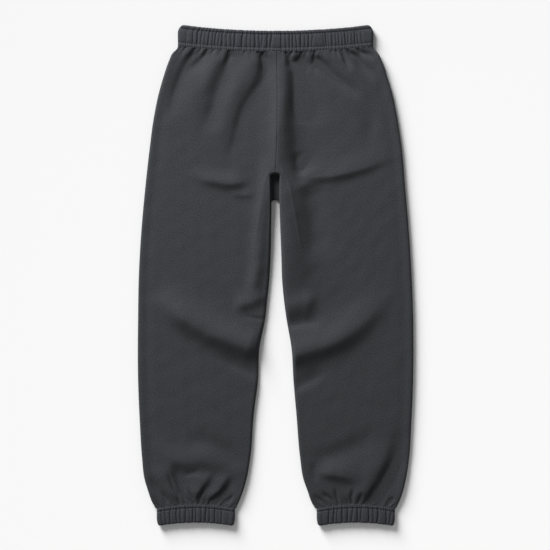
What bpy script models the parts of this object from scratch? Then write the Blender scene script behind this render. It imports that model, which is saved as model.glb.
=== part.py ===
"""Jogger sweatpants of brushed fleece, laid flat on their back.

The waist points to +Y, the cuffs to -Y and the front faces up (+Z). The origin is the
middle of the garment on the surface it lies on. "left" and "right" are as seen from above.

Seven sewn pieces, each a closed solid of its own:
  front_left, front_right   upper halves: cloth walls that carry the folds and roll over the edges
  back_left, back_right     lower halves: flat where they rest, with a turned-up rim
  waistband                 flattened elastic tube, gathered on its front
  cuff_left, cuff_right     flattened elastic tubes, gathered on their fronts
"""

import bpy
import bmesh
import numpy as np

# ---------------------------------------------------------------- driving dimensions, mm
MM = 0.001                  # metres in a millimetre
SEAM_GAP = 0.3              # play between two sewn pieces
WALL = 2.0                  # fleece thickness
HALF_LENGTH = 510.0         # waist and cuff corners, from the middle of the garment

LOFT = 10.0                 # height of the upper half over the surface, both layers and their air
LOWEST = 4.9                # the upper half never sinks under this
EDGE_LOWEST = 8.0           # nor, close to its rolled edges, under this
EDGE_REACH = 14.0           # how far from an edge that holds
SOFTNESS = 2.0              # mm2, how softly folds run out into that lowest height
RIM_HEIGHT = 4.5            # where the upper and lower halves meet at side seam and inseam
SIDE_ROLL = 4.6             # width of the rolled edge along the side seam
SIDE_PUFF = (0.6, 8.0, 6.0)         # height, distance from the side edge and width of the puffed edge
SIDE_VALLEY = (-0.5, 20.0, 9.0)     # the same for the shallow valley beside it
BACK_ROLL = 5.0             # width of the lower half's turned-up rim

WAIST_HALF = 199.0          # waistband, half its width
WAIST_FREE_HALF = 190.0     # the same at its free edge
WAIST_NARROWING = 0.35      # share of its height over which the sides draw in to that
WAIST_FREE_DIP = 12.0       # how far the free edge sags in the middle
WAIST_FREE_SPAN = 191.0     # half the length that this sag takes
WAIST_SEAM_Y = 466.5        # waistband seam at the sides
WAIST_SEAM_DIP = 11.0       # and how far it sags in the middle
WAIST_EASE = 136.0          # length over which the panel's rows lose that sag
CUFF_HALF = 79.5            # cuffs, half their width
CUFF_FREE_HALF = 76.5       # the same at the free edge
CUFF_NARROWING = 0.5        # share of its height over which the sides draw in to that
CUFF_CENTRE = {"left": -162.5, "right": 163.5}
CUFF_SEAM_Y = -474.8        # cuff seam at its sides
CUFF_SEAM_RISE = 8.2        # and how far it arches in the middle
CUFF_FREE_RISE = 6.0        # the same for the free edge
CUFF_FREE_SPAN = 73.0       # half the length that this arch takes
CUFF_EASE = 75.0            # length over which the panel's rows lose that arch
WAIST_HEIGHT = 13.2         # top of a panel where it is sewn to the waistband
CUFF_HEIGHT = 8.8           # and where it is sewn to a cuff
SEAM_SWELL = 32.0           # length over which the panel swells from those heights
SEAM_TUCK = 16.0            # length over which it sinks from them
TUCK_START = 0.4            # share of that depth that a trough has at the seam itself
DRAWN_IN = 0.6              # width of a trough at the waist seam, as a share of its own
DRAWN_OVER = 34.0           # which it has at this distance from that seam

FRONT_NOTCH_Y = 205.0       # crotch point of the upper half
BACK_NOTCH_Y = 153.0        # crotch point of the lower half
NOTCH_RADIUS = 4.5          # rounding of both
NOTCH_EDGE = 60.0           # length of free edge below the crotch point that rolls about that corner
CROTCH_LUMP = (2.2, 13.0, 148.0, 212.0, 8.0)    # where four seams cross: height, half width, y, y, fade

# outer edge of the garment: y, x of the left leg, x of the right leg
SIDE_EDGE = (
    (470.0, -199.0, 199.0),
    (461.0, -201.5, 201.0),
    (454.0, -209.0, 208.0),
    (438.0, -217.0, 216.5),
    (405.0, -228.5, 227.5),
    (372.0, -238.0, 237.5),
    (324.0, -248.0, 247.5),
    (258.0, -257.0, 257.5),
    (177.0, -266.0, 264.5),
    (95.0, -273.5, 271.5),
    (-2.0, -279.0, 277.5),
    (-84.0, -280.5, 280.5),
    (-215.0, -280.5, 280.5),
    (-300.0, -277.0, 277.0),
    (-372.0, -272.5, 272.5),
    (-415.0, -267.5, 266.0),
    (-440.0, -260.0, 260.0),
    (-460.0, -253.0, 253.0),
    (-480.0, -242.0, 243.0),
)

# inner edge of each leg, from the crotch to the cuff: y, left leg, right leg
INSEAM_EDGE = (
    (200.0, -9.5, 7.5),
    (160.0, -8.5, 7.5),
    (95.0, -9.0, 9.5),
    (30.0, -10.5, 12.0),
    (-5.0, -12.5, 13.0),
    (-50.0, -17.0, 17.0),
    (-84.0, -20.5, 21.5),
    (-150.0, -33.0, 32.5),
    (-215.0, -36.0, 36.5),
    (-284.0, -44.5, 42.5),
    (-372.0, -51.5, 50.0),
    (-415.0, -59.0, 56.5),
    (-445.0, -68.0, 67.0),
    (-460.0, -74.0, 72.0),
    (-480.0, -83.0, 84.0),
)

# seam down the middle of the body, front and back: y, x
CENTRE_SEAM = (
    (470.0, 3.2),
    (280.0, 2.8),
    (230.0, 1.0),
    (FRONT_NOTCH_Y, -0.4),
)

# width of the upper half's roll along the inseam: y, width
INSEAM_ROLL = (
    (480.0, 7.0),
    (150.0, 7.0),
    (100.0, 9.0),
    (40.0, 12.0),
    (0.0, 14.0),
    (-100.0, 16.0),
    (-300.0, 12.0),
    (-480.0, 8.0),
)

# Folds of the upper half. Each is a soft ridge (height > 0) or trough (height < 0) along a smooth
# path. left and right are the widths of its two flanks, as seen when walking along it; lead and
# tail are the shares of its run over which it comes and goes; path is x, y, x, y, ... in mm.
FOLDS = (
    # name, height, left, right, lead, tail, path
    ("crotch mound", 6.5, 28, 15, 0.60, 0.30, (6, 478, 6, 400, 6, 330, 6, 235, 5, 175)),
    ("crotch swell", 6.5, 32, 28, 0.55, 0.45, (6, 380, 6, 300, 5, 230, 5, 175)),
    ("fly ridge", 4.0, 15, 16, 0.50, 0.45, (15, 478, 15, 440, 16, 400, 15, 350, 13, 300, 10, 250)),
    ("waist swell", 3.0, 60, 95, 0.02, 0.02, (-260, 462, 260, 462)),
    ("hip swell left", 1.0, 75, 120, 0.20, 0.20, (-235, 385, -140, 388, -30, 385)),
    ("fly trough right", -7.2, 50, 13, 0.16, 0.35, (39, 450, 39, 430, 40, 400, 43, 350, 45, 300)),
    ("fork inner right", -4.5, 9, 8, 0.02, 0.35, (24, 474, 26, 452, 29, 432, 32, 414)),
    ("fork outer right", -4.5, 18, 10, 0.02, 0.40, (60, 474, 56, 452, 48, 432, 43, 412)),
    ("lap trough right", -4.0, 60, 16, 0.35, 0.10, (38, 380, 40, 330, 44, 275, 46, 236, 52, 208, 60, 180)),
    ("inner thigh left", 6.5, 15, 14, 0.25, 0.15,
     (-8, 250, -19, 205, -20, 180, -28, 128, -33, 67, -39, 6, -46, -24, -62, -50)),
    ("inner thigh right", 14.0, 42, 30, 0.30, 0.45,
     (6, 262, 13, 205, 17, 157, 22, 97, 27, 36, 33, -20, 38, -50, 42, -84)),
    ("lap corner right", -4.0, 30, 12, 0.40, 0.40, (43, 256, 45, 234, 49, 214, 55, 196)),
    ("thigh trough right", -5.0, 30, 22, 0.20, 0.35, (60, 192, 70, 160, 75, 128, 80, 60, 80, 20)),
    ("hip ridge outer", 3.0, 17, 22, 0.25, 0.60, (-112, 474, -122, 440, -139, 400, -168, 338, -184, 296)),
    ("hip trough outer", -4.8, 32, 15, 0.05, 0.35,
     (-82, 472, -87, 452, -95, 431, -106, 406, -117, 372, -142, 302, -156, 268)),
    ("hip ridge inner", 3.4, 20, 20, 0.45, 0.40,
     (-45, 476, -55, 438, -70, 405, -86, 372, -98, 343, -106, 308, -124, 240)),
    ("hip mound", 2.8, 42, 55, 0.60, 0.40, (-45, 476, -55, 438, -70, 405, -98, 343, -106, 308, -124, 240)),
    ("fly trough left", -5.0, 18, 17, 0.05, 0.50, (-28, 472, -25, 451, -22, 430, -28, 405, -46, 380)),
    ("fly fold left", 3.0, 9, 20, 0.05, 0.50, (-42, 474, -39, 451, -37, 430, -44, 405, -62, 372)),
    ("hip trough inner", -3.0, 26, 9, 0.30, 0.35,
     (-27, 472, -22, 451, -18, 425, -24, 399, -47, 369, -66, 338, -84, 270, -95, 242, -124, 228)),
    ("side trough left", -5.0, 20, 10, 0.04, 0.50,
     (-152, 476, -162, 456, -176, 438, -190, 412, -204, 372, -212, 340, -218, 300)),
    ("side fork left", -4.6, 20, 9, 0.03, 0.45, (-128, 474, -136, 458, -149, 441, -168, 420, -186, 402)),
    ("hip dent right", -6.5, 10, 12, 0.15, 0.55,
     (74, 452, 88, 436, 108, 415, 131, 396, 154, 378, 185, 352)),
    ("side trough right", -6.0, 8, 10, 0.03, 0.50,
     (132, 472, 145, 458, 162, 446, 174, 430, 192, 412, 212, 396)),
    ("side fork right", -5.0, 8, 7, 0.03, 0.50, (160, 474, 172, 458, 188, 448, 204, 438)),
    ("side ridge right", 1.5, 13, 14, 0.08, 0.70, (108, 476, 150, 432, 196, 362)),
    ("side hollow right", -2.0, 16, 16, 0.40, 0.40, (196, 372, 192, 310, 194, 245)),
    ("lap crease left", 6.0, 18, 11, 0.50, 0.30, (-182, 208, -160, 201, -118, 190, -83, 187, -48, 197)),
    ("lap crease short", 1.8, 10, 6, 0.40, 0.40, (-98, 167, -66, 163, -38, 165)),
    ("lap crease right", 5.5, 26, 11, 0.16, 0.55,
     (44, 208, 56, 201, 80, 202, 120, 204, 171, 216, 222, 236, 262, 254)),
    ("knee tuck left", 5.2, 18, 14, 0.35, 0.25, (-90, -58, -66, -58, -48, -53, -34, -45, -20, -38)),
    ("knee fold left", 14.0, 32, 23, 0.35, 0.14,
     (-250, -24, -194, -80, -138, -114, -80, -136, -46, -148, -22, -156)),
    ("knee hollow left", -2.5, 18, 10, 0.50, 0.05, (-130, -160, -80, -184, -24, -208)),
    ("knee tuck right", 5.0, 22, 26, 0.15, 0.40, (10, -70, 40, -62, 64, -58, 92, -62)),
    ("knee furrow right", -4.0, 22, 9, 0.15, 0.40, (10, -104, 36, -100, 62, -96, 84, -95, 100, -98)),
    ("knee swell right", 1.5, 15, 15, 0.50, 0.50, (50, -52, 68, -50, 86, -54)),
    ("knee fold right", 12.5, 33, 22, 0.03, 0.60,
     (16, -166, 43, -159, 74, -149, 118, -135, 162, -107, 195, -75, 219, -46, 240, -8)),
    ("knee hollow right", -3.5, 19, 10, 0.05, 0.50, (26, -234, 66, -216, 116, -184)),
    ("shin dent left", -3.0, 18, 18, 0.35, 0.35, (-190, -330, -150, -339, -110, -355, -75, -382, -60, -398)),
    ("ankle hollow left", -2.0, 30, 60, 0.30, 0.30, (-260, -440, -165, -432, -70, -440)),
    ("shin sag left", 5.0, 24, 18, 0.40, 0.35,
     (-240, -325, -226, -356, -208, -373, -180, -379, -150, -375, -128, -382, -113, -398, -108, -416)),
    ("ankle gather a", 5.5, 11, 28, 0.30, 0.05, (-136, -396, -144, -418, -158, -438, -165, -458, -167, -484)),
    ("ankle furrow a", -2.5, 16, 9, 0.30, 0.05, (-119, -396, -129, -418, -143, -438, -150, -458, -152, -484)),
    ("ankle gather b", 5.5, 10, 24, 0.30, 0.05, (-98, -400, -107, -420, -118, -438, -132, -455, -147, -484)),
    ("ankle furrow b", -2.5, 14, 8, 0.30, 0.05, (-83, -402, -92, -422, -103, -440, -118, -457, -131, -484)),
    ("ankle gather c", 4.5, 13, 30, 0.30, 0.05, (-226, -374, -217, -404, -207, -432, -200, -455, -193, -484)),
    ("ankle furrow c", -2.5, 18, 12, 0.30, 0.05,
     (-212, -374, -199, -406, -189, -434, -182, -457, -178, -484)),
    ("ankle gather d", -3.0, 9, 9, 0.40, 0.02, (-256, -400, -250, -418, -240, -436, -224, -454, -210, -478)),
    ("shin dent right", -3.5, 18, 20, 0.25, 0.40, (66, -392, 90, -380, 124, -364, 170, -344, 215, -314)),
    ("shin sag right", 7.0, 26, 12, 0.35, 0.50, (78, -397, 100, -401, 120, -404, 142, -409, 178, -428)),
    ("ankle hollow right", -2.0, 9, 9, 0.40, 0.40, (80, -376, 79, -400, 86, -426)),
    ("ankle gather e", 5.0, 16, 30, 0.35, 0.05, (232, -326, 224, -372, 204, -408, 186, -442, 168, -484)),
    ("ankle furrow e", -6.0, 26, 16, 0.50, 0.02,
     (254, -300, 243, -360, 236, -384, 226, -406, 204, -446, 191, -474, 188, -484)),
)

# rows across the upper and the lower half of a leg: from y, down to y, spacing
FRONT_ROWS = (
    (WAIST_SEAM_Y, 440.0, 6.6),
    (440.0, 340.0, 16.7),
    (340.0, 220.0, 24.0),
    (220.0, 140.0, 9.0),
    (140.0, -40.0, 30.0),
    (-40.0, -200.0, 14.5),
    (-200.0, -370.0, 42.5),
    (-370.0, -450.0, 13.4),
    (-450.0, CUFF_SEAM_Y, 6.2),
)
BACK_ROWS = (
    (WAIST_SEAM_Y, 400.0, 14.0),
    (400.0, 190.0, 42.0),
    (190.0, 140.0, 12.0),
    (140.0, -330.0, 47.0),
    (-330.0, CUFF_SEAM_Y, 24.0),
)
NOTCH_STEPS = 4             # steps down the rounded crotch corner
NOTCH_CLEAR = 3.0           # no other row is nearer to that corner
FRONT_STEPS = (4, 17)       # steps across each rolled edge, and across the middle
BACK_STEPS = (3, 8)


# ---------------------------------------------------------------- small mathematics
def smooth(table, y, column=1):
    """Value of a table's column at y, on a smooth curve through its rows."""
    rows = np.array(sorted(table), float)
    knots, values = rows[:, 0], rows[:, column]
    slopes = np.gradient(values, knots)
    y = np.clip(y, knots[0], knots[-1])
    i = np.clip(np.searchsorted(knots, y) - 1, 0, len(knots) - 2)
    step = knots[i + 1] - knots[i]
    t = (y - knots[i]) / step
    return (values[i] * (1 + 2 * t) * (1 - t) ** 2 + slopes[i] * step * t * (1 - t) ** 2
            + values[i + 1] * t * t * (3 - 2 * t) - slopes[i + 1] * step * t * t * (1 - t))


def quarter_round(q):
    """Quarter circle: 0 at q = 0 with a vertical start, 1 and level from q = 1 on."""
    return np.sqrt(1 - (1 - np.clip(q, 0, 1)) ** 2)


def ease(q):
    """Level start and end, from 0 to 1."""
    q = np.clip(q, 0, 1)
    return q * q * (3 - 2 * q)


def bell(distance, left, right):
    """1 on the line, fading with its own width on either side."""
    return np.exp(-(distance / np.where(distance > 0, left, right)) ** 2)


def distance_to_curve(x, y, curve):
    """Signed distance (+ on the left hand) to a polyline, and the share of its run passed."""
    nearest = np.full(x.shape, np.inf)
    side = np.ones(x.shape)
    along = np.zeros(x.shape)
    lengths = np.hypot(*np.diff(curve, axis=0).T)
    starts = np.concatenate(([0], np.cumsum(lengths)))
    for k in range(len(lengths)):
        (ax, ay), (dx, dy) = curve[k], curve[k + 1] - curve[k]
        t = np.clip(((x - ax) * dx + (y - ay) * dy) / (dx * dx + dy * dy), 0, 1)
        ex, ey = x - ax - t * dx, y - ay - t * dy
        distance = np.hypot(ex, ey)
        closer = distance < nearest
        nearest = np.where(closer, distance, nearest)
        side = np.where(closer, np.where(dx * ey - dy * ex < 0, -1.0, 1.0), side)
        along = np.where(closer, (starts[k] + t * lengths[k]) / starts[-1], along)
    return nearest * side, along


def smooth_path(path, between=4):
    """Smooth curve through points given as x, y, x, y, ...: cubics with the chords as slopes."""
    points = np.array(path, float).reshape(-1, 2)
    slopes = np.gradient(points, axis=0)
    t = np.linspace(0, 1, between, endpoint=False)[:, None]
    parts = [
        points[k] * (1 + 2 * t) * (1 - t) ** 2 + slopes[k] * t * (1 - t) ** 2
        + points[k + 1] * t * t * (3 - 2 * t) - slopes[k + 1] * t * t * (1 - t)
        for k in range(len(points) - 1)
    ]
    return np.concatenate((*parts, points[-1:]))


# ---------------------------------------------------------------- the pattern seen from above
def leg_column(side):
    return 1 if side == "left" else 2


def outer_edge(side, y):
    return smooth(SIDE_EDGE, y, leg_column(side))


def inner_edge(side, y, notch_y):
    """Body seam above the crotch point, inseam below it, and a rounded corner between."""
    seam = smooth(CENTRE_SEAM, y)
    inseam = smooth(INSEAM_EDGE, y, leg_column(side))
    return seam + (inseam - seam) * quarter_round((notch_y - y) / NOTCH_RADIUS)


def arch(x, half_span, rise):
    """Parabola that is rise high in the middle and level beyond half_span."""
    return rise * (1 - np.clip(x / half_span, -1, 1) ** 2)


def waist_seam(x):
    return WAIST_SEAM_Y - arch(x, WAIST_HALF, WAIST_SEAM_DIP)


def cuff_seam(side, x):
    return CUFF_SEAM_Y + arch(x - CUFF_CENTRE[side], CUFF_HALF, CUFF_SEAM_RISE)


def panel_grid(side, rows, shares, notch_y):
    """x and y of a panel's grid, and the straight y of its rows.

    Rows run across the leg and shares run from the inner edge (0) to the outer one (1). Towards
    the waistband the rows sag like its seam, and towards the cuff they arch like its seam.
    """
    level = np.broadcast_to(rows[:, None], shares.shape)
    inner = inner_edge(side, level, notch_y)
    outer = outer_edge(side, level)
    x = inner + shares * (outer - inner)
    waist_share = np.clip((level - WAIST_SEAM_Y) / WAIST_EASE + 1, 0, 1)
    cuff_share = np.clip((CUFF_SEAM_Y - level) / CUFF_EASE + 1, 0, 1)
    y = level + waist_share * (waist_seam(x) - WAIST_SEAM_Y) + cuff_share * (cuff_seam(side, x) - CUFF_SEAM_Y)
    return x, y, level


def panel_shares(side, rows, notch_y, inner_roll, outer_roll, roll_steps, middle_steps):
    """Share of the way across for each grid point, with the columns crowded into the two rolls."""
    width = np.abs(outer_edge(side, rows) - inner_edge(side, rows, notch_y))
    turn = 1 - np.cos(np.linspace(0, np.pi / 2, roll_steps + 1))
    inner_part = inner_roll[:, None] * turn[None, :]
    outer_part = width[:, None] - outer_roll * turn[None, ::-1]
    t = np.linspace(0, 1, middle_steps + 1)[None, 1:-1]
    middle_part = inner_part[:, -1:] * (1 - t) + outer_part[:, :1] * t
    return np.concatenate((inner_part, middle_part, outer_part), axis=1) / width[:, None]


# ---------------------------------------------------------------- the relief of the upper half
def fold_relief(x, y):
    relief = np.zeros(x.shape)
    for _, height, left, right, lead, tail, path in FOLDS:
        distance, along = distance_to_curve(x, y, smooth_path(path))
        if height < 0:
            distance = distance / (DRAWN_IN + (1 - DRAWN_IN) * ease((waist_seam(x) - y) / DRAWN_OVER))
        run = ease(along / lead) * ease((1 - along) / tail)
        relief += height * bell(distance, left, right) * run
    return relief


def notch_distance(side, x, y):
    """Distance to the free edge of the upper half's inner side, also for points above the crotch."""
    level = FRONT_NOTCH_Y - np.linspace(0, 1, 24) ** 2 * NOTCH_EDGE
    corner = np.stack((inner_edge(side, level, FRONT_NOTCH_Y), level), axis=1)
    distance, _ = distance_to_curve(x, y, corner)
    sideways = np.abs(x - inner_edge(side, y, FRONT_NOTCH_Y))
    return np.where(y < FRONT_NOTCH_Y - NOTCH_EDGE * 2 / 3, sideways, np.abs(distance))


def front_height(side, x, y, level):
    """Top of the upper half over the surface."""
    from_side = np.abs(outer_edge(side, level) - x)
    from_inner = notch_distance(side, x, level)
    puff, puff_at, puff_width = SIDE_PUFF
    valley, valley_at, valley_width = SIDE_VALLEY
    field = LOFT + fold_relief(x, y)
    field += puff * bell(from_side - puff_at, puff_width, puff_width)
    field += valley * bell(from_side - valley_at, valley_width, valley_width)
    near_edge = 1 - ease(np.minimum(from_side, from_inner) / EDGE_REACH)
    lowest = LOWEST + (EDGE_LOWEST - LOWEST) * near_edge
    over = field - lowest
    field = lowest + (over + np.sqrt(over * over + SOFTNESS)) / 2
    from_waist, from_cuff = WAIST_SEAM_Y - level, level - CUFF_SEAM_Y
    at_seam = np.where(from_waist < from_cuff, WAIST_HEIGHT, CUFF_HEIGHT)
    over = field - at_seam
    start = np.where(over > 0, 0.0, TUCK_START)
    reach = np.where(over > 0, SEAM_SWELL, SEAM_TUCK)
    field = at_seam + over * (start + (1 - start) * ease(np.minimum(from_waist, from_cuff) / reach))
    roll = quarter_round(from_side / SIDE_ROLL) * quarter_round(from_inner / smooth(INSEAM_ROLL, level))
    return RIM_HEIGHT + (field - RIM_HEIGHT) * roll


# ---------------------------------------------------------------- solids
def grid_normals(points):
    """Unit normals of a grid of points, from the differences along its two ways."""
    down, across = np.gradient(points, axis=0), np.gradient(points, axis=1)
    normal = np.cross(down, across)
    return normal / np.linalg.norm(normal, axis=2, keepdims=True)


def wall_normals(side, points, rows, notch_y, upwards):
    """Directions across a panel's wall: square to it, and level or straight along its edges."""
    normal = grid_normals(points)
    middle = normal[len(rows) // 2, normal.shape[1] // 2, 2]
    if (middle > 0) != upwards:
        normal = -normal
    outwards = 1.0 if side == "right" else -1.0
    seamed = rows >= notch_y
    normal[seamed, 0, 0] = 0.0
    free = ~seamed
    slope = np.gradient(points[:, 0, 0], points[:, 0, 1])
    normal[free, 0] = np.stack((-outwards * np.ones(free.sum()), outwards * slope[free], 0 * slope[free]), 1)
    slope = np.gradient(points[:, -1, 0], points[:, -1, 1])
    normal[:, -1] = np.stack((outwards * np.ones(len(rows)), -outwards * slope, 0 * slope), 1)
    for end in (0, -1):
        normal[end, :, 1] = 0.0
    return normal / np.linalg.norm(normal, axis=2, keepdims=True)


def skin_faces(rows, columns, start=0):
    index = start + np.arange(rows * columns).reshape(rows, columns)
    return np.stack((index[:-1, :-1], index[:-1, 1:], index[1:, 1:], index[1:, :-1]), axis=2).reshape(-1, 4)


def border_faces(rows, columns):
    """Strips that join the edges of two equal grids, the second stored after the first."""
    index = np.arange(rows * columns).reshape(rows, columns)
    loop = np.concatenate((index[0, :-1], index[:-1, -1], index[-1, :0:-1], index[:0:-1, 0]))
    following = np.roll(loop, -1)
    offset = rows * columns
    return np.stack((loop, following, following + offset, loop + offset), axis=1)


def add_solid(name, vertices, faces, colour):
    """A closed solid from points in mm, with its faces turned outwards."""
    mesh = bpy.data.meshes.new(name)
    mesh.from_pydata((vertices * MM).tolist(), [], faces.tolist())
    shape = bmesh.new()
    shape.from_mesh(mesh)
    bmesh.ops.recalc_face_normals(shape, faces=shape.faces)
    shape.to_mesh(mesh)
    shape.free()
    mesh.shade_smooth()
    mesh.set_sharp_from_angle(angle=np.radians(SHARPEST))
    fleece = bpy.data.materials.new(name + "_fleece")
    fleece.use_nodes = True
    shader = fleece.node_tree.nodes["Principled BSDF"]
    shader.inputs["Base Color"].default_value = (*colour, 1.0)
    shader.inputs["Roughness"].default_value = ROUGHNESS
    shader.inputs["Metallic"].default_value = 0.0
    mesh.materials.append(fleece)
    piece = bpy.data.objects.new(name, mesh)
    bpy.context.collection.objects.link(piece)
    return piece


def add_panel(name, outer, inner, colour):
    rows, columns = outer.shape[:2]
    vertices = np.concatenate((outer.reshape(-1, 3), inner.reshape(-1, 3)))
    faces = np.concatenate((
        skin_faces(rows, columns),
        skin_faces(rows, columns, rows * columns)[:, ::-1],
        border_faces(rows, columns)[:, ::-1],
    ))
    return add_solid(name, vertices, faces, colour)


def spaced(high, low, step):
    """Even rows from high down to just above low."""
    count = max(1, round((high - low) / step))
    return np.linspace(high, low, count, endpoint=False)


def panel_rows(spans, notch_y):
    """Rows from the waist seam down to the cuff seam, with the rounded crotch corner's own rows."""
    rows = np.concatenate([spaced(*span) for span in spans] + [[CUFF_SEAM_Y]])
    corner = notch_y - NOTCH_RADIUS * (1 - np.cos(np.linspace(0, np.pi / 2, NOTCH_STEPS + 1)))
    clear = (rows > corner[0] + NOTCH_CLEAR) | (rows < corner[-1] - NOTCH_CLEAR)
    return np.sort(np.concatenate((rows[clear], corner)))[::-1]


def front_panel(side):
    """Upper half of one leg and hip: a wall that follows every fold, rolled over at its edges."""
    rows = panel_rows(FRONT_ROWS, FRONT_NOTCH_Y)
    inner_roll = smooth(INSEAM_ROLL, rows)
    shares = panel_shares(side, rows, FRONT_NOTCH_Y, inner_roll, SIDE_ROLL, *FRONT_STEPS)
    x, y, level = panel_grid(side, rows, shares, FRONT_NOTCH_Y)
    z = front_height(side, x, y, level)
    outer = np.stack((x, y, z), axis=2)
    normal = wall_normals(side, outer, rows, FRONT_NOTCH_Y, upwards=True)
    inner = outer - WALL * normal
    return leave_gaps(side, rows, FRONT_NOTCH_Y, outer, inner)


def back_panel(side):
    """Lower half: flat on the surface, its rim turned up to meet the upper half."""
    rows = panel_rows(BACK_ROWS, BACK_NOTCH_Y)
    inner_roll = np.full(len(rows), BACK_ROLL)
    shares = panel_shares(side, rows, BACK_NOTCH_Y, inner_roll, BACK_ROLL, *BACK_STEPS)
    x, y, level = panel_grid(side, rows, shares, BACK_NOTCH_Y)
    rim = RIM_HEIGHT - SEAM_GAP
    from_side = np.abs(outer_edge(side, level) - x)
    sideways = np.abs(x - inner_edge(side, level, BACK_NOTCH_Y))
    from_inner = np.where(level >= BACK_NOTCH_Y, BACK_ROLL, sideways)
    z = rim * (1 - quarter_round(from_side / BACK_ROLL) * quarter_round(from_inner / BACK_ROLL))
    outer = np.stack((x, y, z), axis=2)
    normal = wall_normals(side, outer, rows, BACK_NOTCH_Y, upwards=False)
    inner = outer - WALL * normal
    height, reach, low, high, fade = CROTCH_LUMP
    sides = ease((reach + fade - np.abs(inner[:, :, 0])) / fade)
    ends = ease((high + fade - inner[:, :, 1]) / fade) * ease((inner[:, :, 1] - low + fade) / fade)
    inner[:, :, 2] = np.maximum(inner[:, :, 2], WALL + height * sides * ends)
    return leave_gaps(side, rows, BACK_NOTCH_Y, outer, inner)


def leave_gaps(side, rows, notch_y, outer, inner):
    """Draw both skins back by half a gap along the body seam and the seams of the elastic tubes."""
    half = SEAM_GAP / 2
    away = half if side == "right" else -half
    for skin in (outer, inner):
        skin[rows >= notch_y, 0, 0] += away
        skin[0, :, 1] = waist_seam(skin[0, :, 0]) - half
        skin[-1, :, 1] = cuff_seam(side, skin[-1, :, 0]) + half
    return outer, inner


# ---------------------------------------------------------------- elastic tubes
TUBE_WALL = 4.3             # two layers of fleece with the elastic between them
TUBE_HOLLOW = (1.7, 1.2)    # half the thickness of the flattened hollow: at its ends, over its middle
END_TURNS = (30.0, 60.0, 90.0, 120.0, 150.0)    # degrees, stations round each end
END_MARGIN = 2.0            # the outermost furrows stay this far from the ends
WAIST_UNDER_STEPS = 22      # steps across the under side
CUFF_UNDER_STEPS = 10

# Section of the waistband from its free edge to its seam: distance in mm, wall thickness, and what
# the stitching lifts or pulls in on the upper side, and how strongly the gathers show there.
WAISTBAND_SECTION = (
    (0.0, 2.0, 0.0, 0.0),
    (1.2, 3.8, 0.4, 0.3),
    (3.8, 4.3, 1.2, 0.6),
    (7.8, 4.3, -0.5, 0.5),
    (11.5, 4.3, 0.9, 1.0),
    (21.0, 4.3, 1.4, 1.0),
    (31.0, 4.3, 0.8, 1.0),
    (34.3, 4.3, -0.5, 0.6),
    (37.6, 4.3, 0.7, 0.6),
    (41.0, 4.0, -0.8, 0.0),
)
CUFF_SECTION = (
    (0.0, 2.0, 0.0, 0.0),
    (1.2, 3.8, 0.3, 0.4),
    (5.0, 4.3, 0.8, 1.0),
    (14.0, 4.3, 1.2, 1.0),
    (25.0, 4.3, 0.8, 1.0),
    (29.5, 4.3, -0.5, 0.5),
    (33.0, 4.3, 0.8, 0.5),
    (36.5, 4.0, -0.8, 0.0),
)
GATHER_DEPTH = 1.5          # each gather is a furrow this deep between two soft ribs
GATHER_RIB = 0.4

# where the gathers lie, from the middle of the garment or of the cuff
WAIST_GATHERS = (
    -167.5, -158.5, -143, -135.7, -121.8, -108.3, -99.1, -82.8, -67.5, -57.5, -41.4, -32.8, -27.5,
    -16.5, -8.8, 21, 29, 35.5, 42.6, 51.8, 60, 75.3, 88.3, 107.9, 115.3, 123.4, 135.7, 147.7,
    155.9, 167.1, 173.8, 183.4, 188.5,
)
CUFF_GATHERS = {
    "left": (-71, -63, -51, -39, -20, -9, -2.5, 10, 20.4, 28.8, 40.2, 53.7),
    "right": (-55, -40.6, -37, -27.7, -17, -6, 3.3, 10.4, 27, 34, 45, 63, 70.6),
}


def tube_stations(half_width, gathers, under_steps):
    """Once round a flattened tube: x from its centre, turn in degrees (0 above, 180 below), furrow.

    Above there is a station in each furrow (1) and on each rib between (0)."""
    reach = half_width - TUBE_WALL - TUBE_HOLLOW[0]
    furrows = np.clip(gathers, -reach + END_MARGIN, reach - END_MARGIN)
    ribs = (furrows[:-1] + furrows[1:]) / 2
    top = sorted([(-reach, 0.0), (reach, 0.0)] + [(f, 1.0) for f in furrows] + [(r, 0.0) for r in ribs])
    stations = [(x, 0.0, furrow) for x, furrow in top]
    stations += [(reach, turn, 0.0) for turn in END_TURNS]
    stations += [(x, 180.0, 0.0) for x in np.linspace(reach, -reach, under_steps + 1)]
    stations += [(-reach, turn, 0.0) for turn in reversed(END_TURNS)]
    return np.array(stations)


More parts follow.
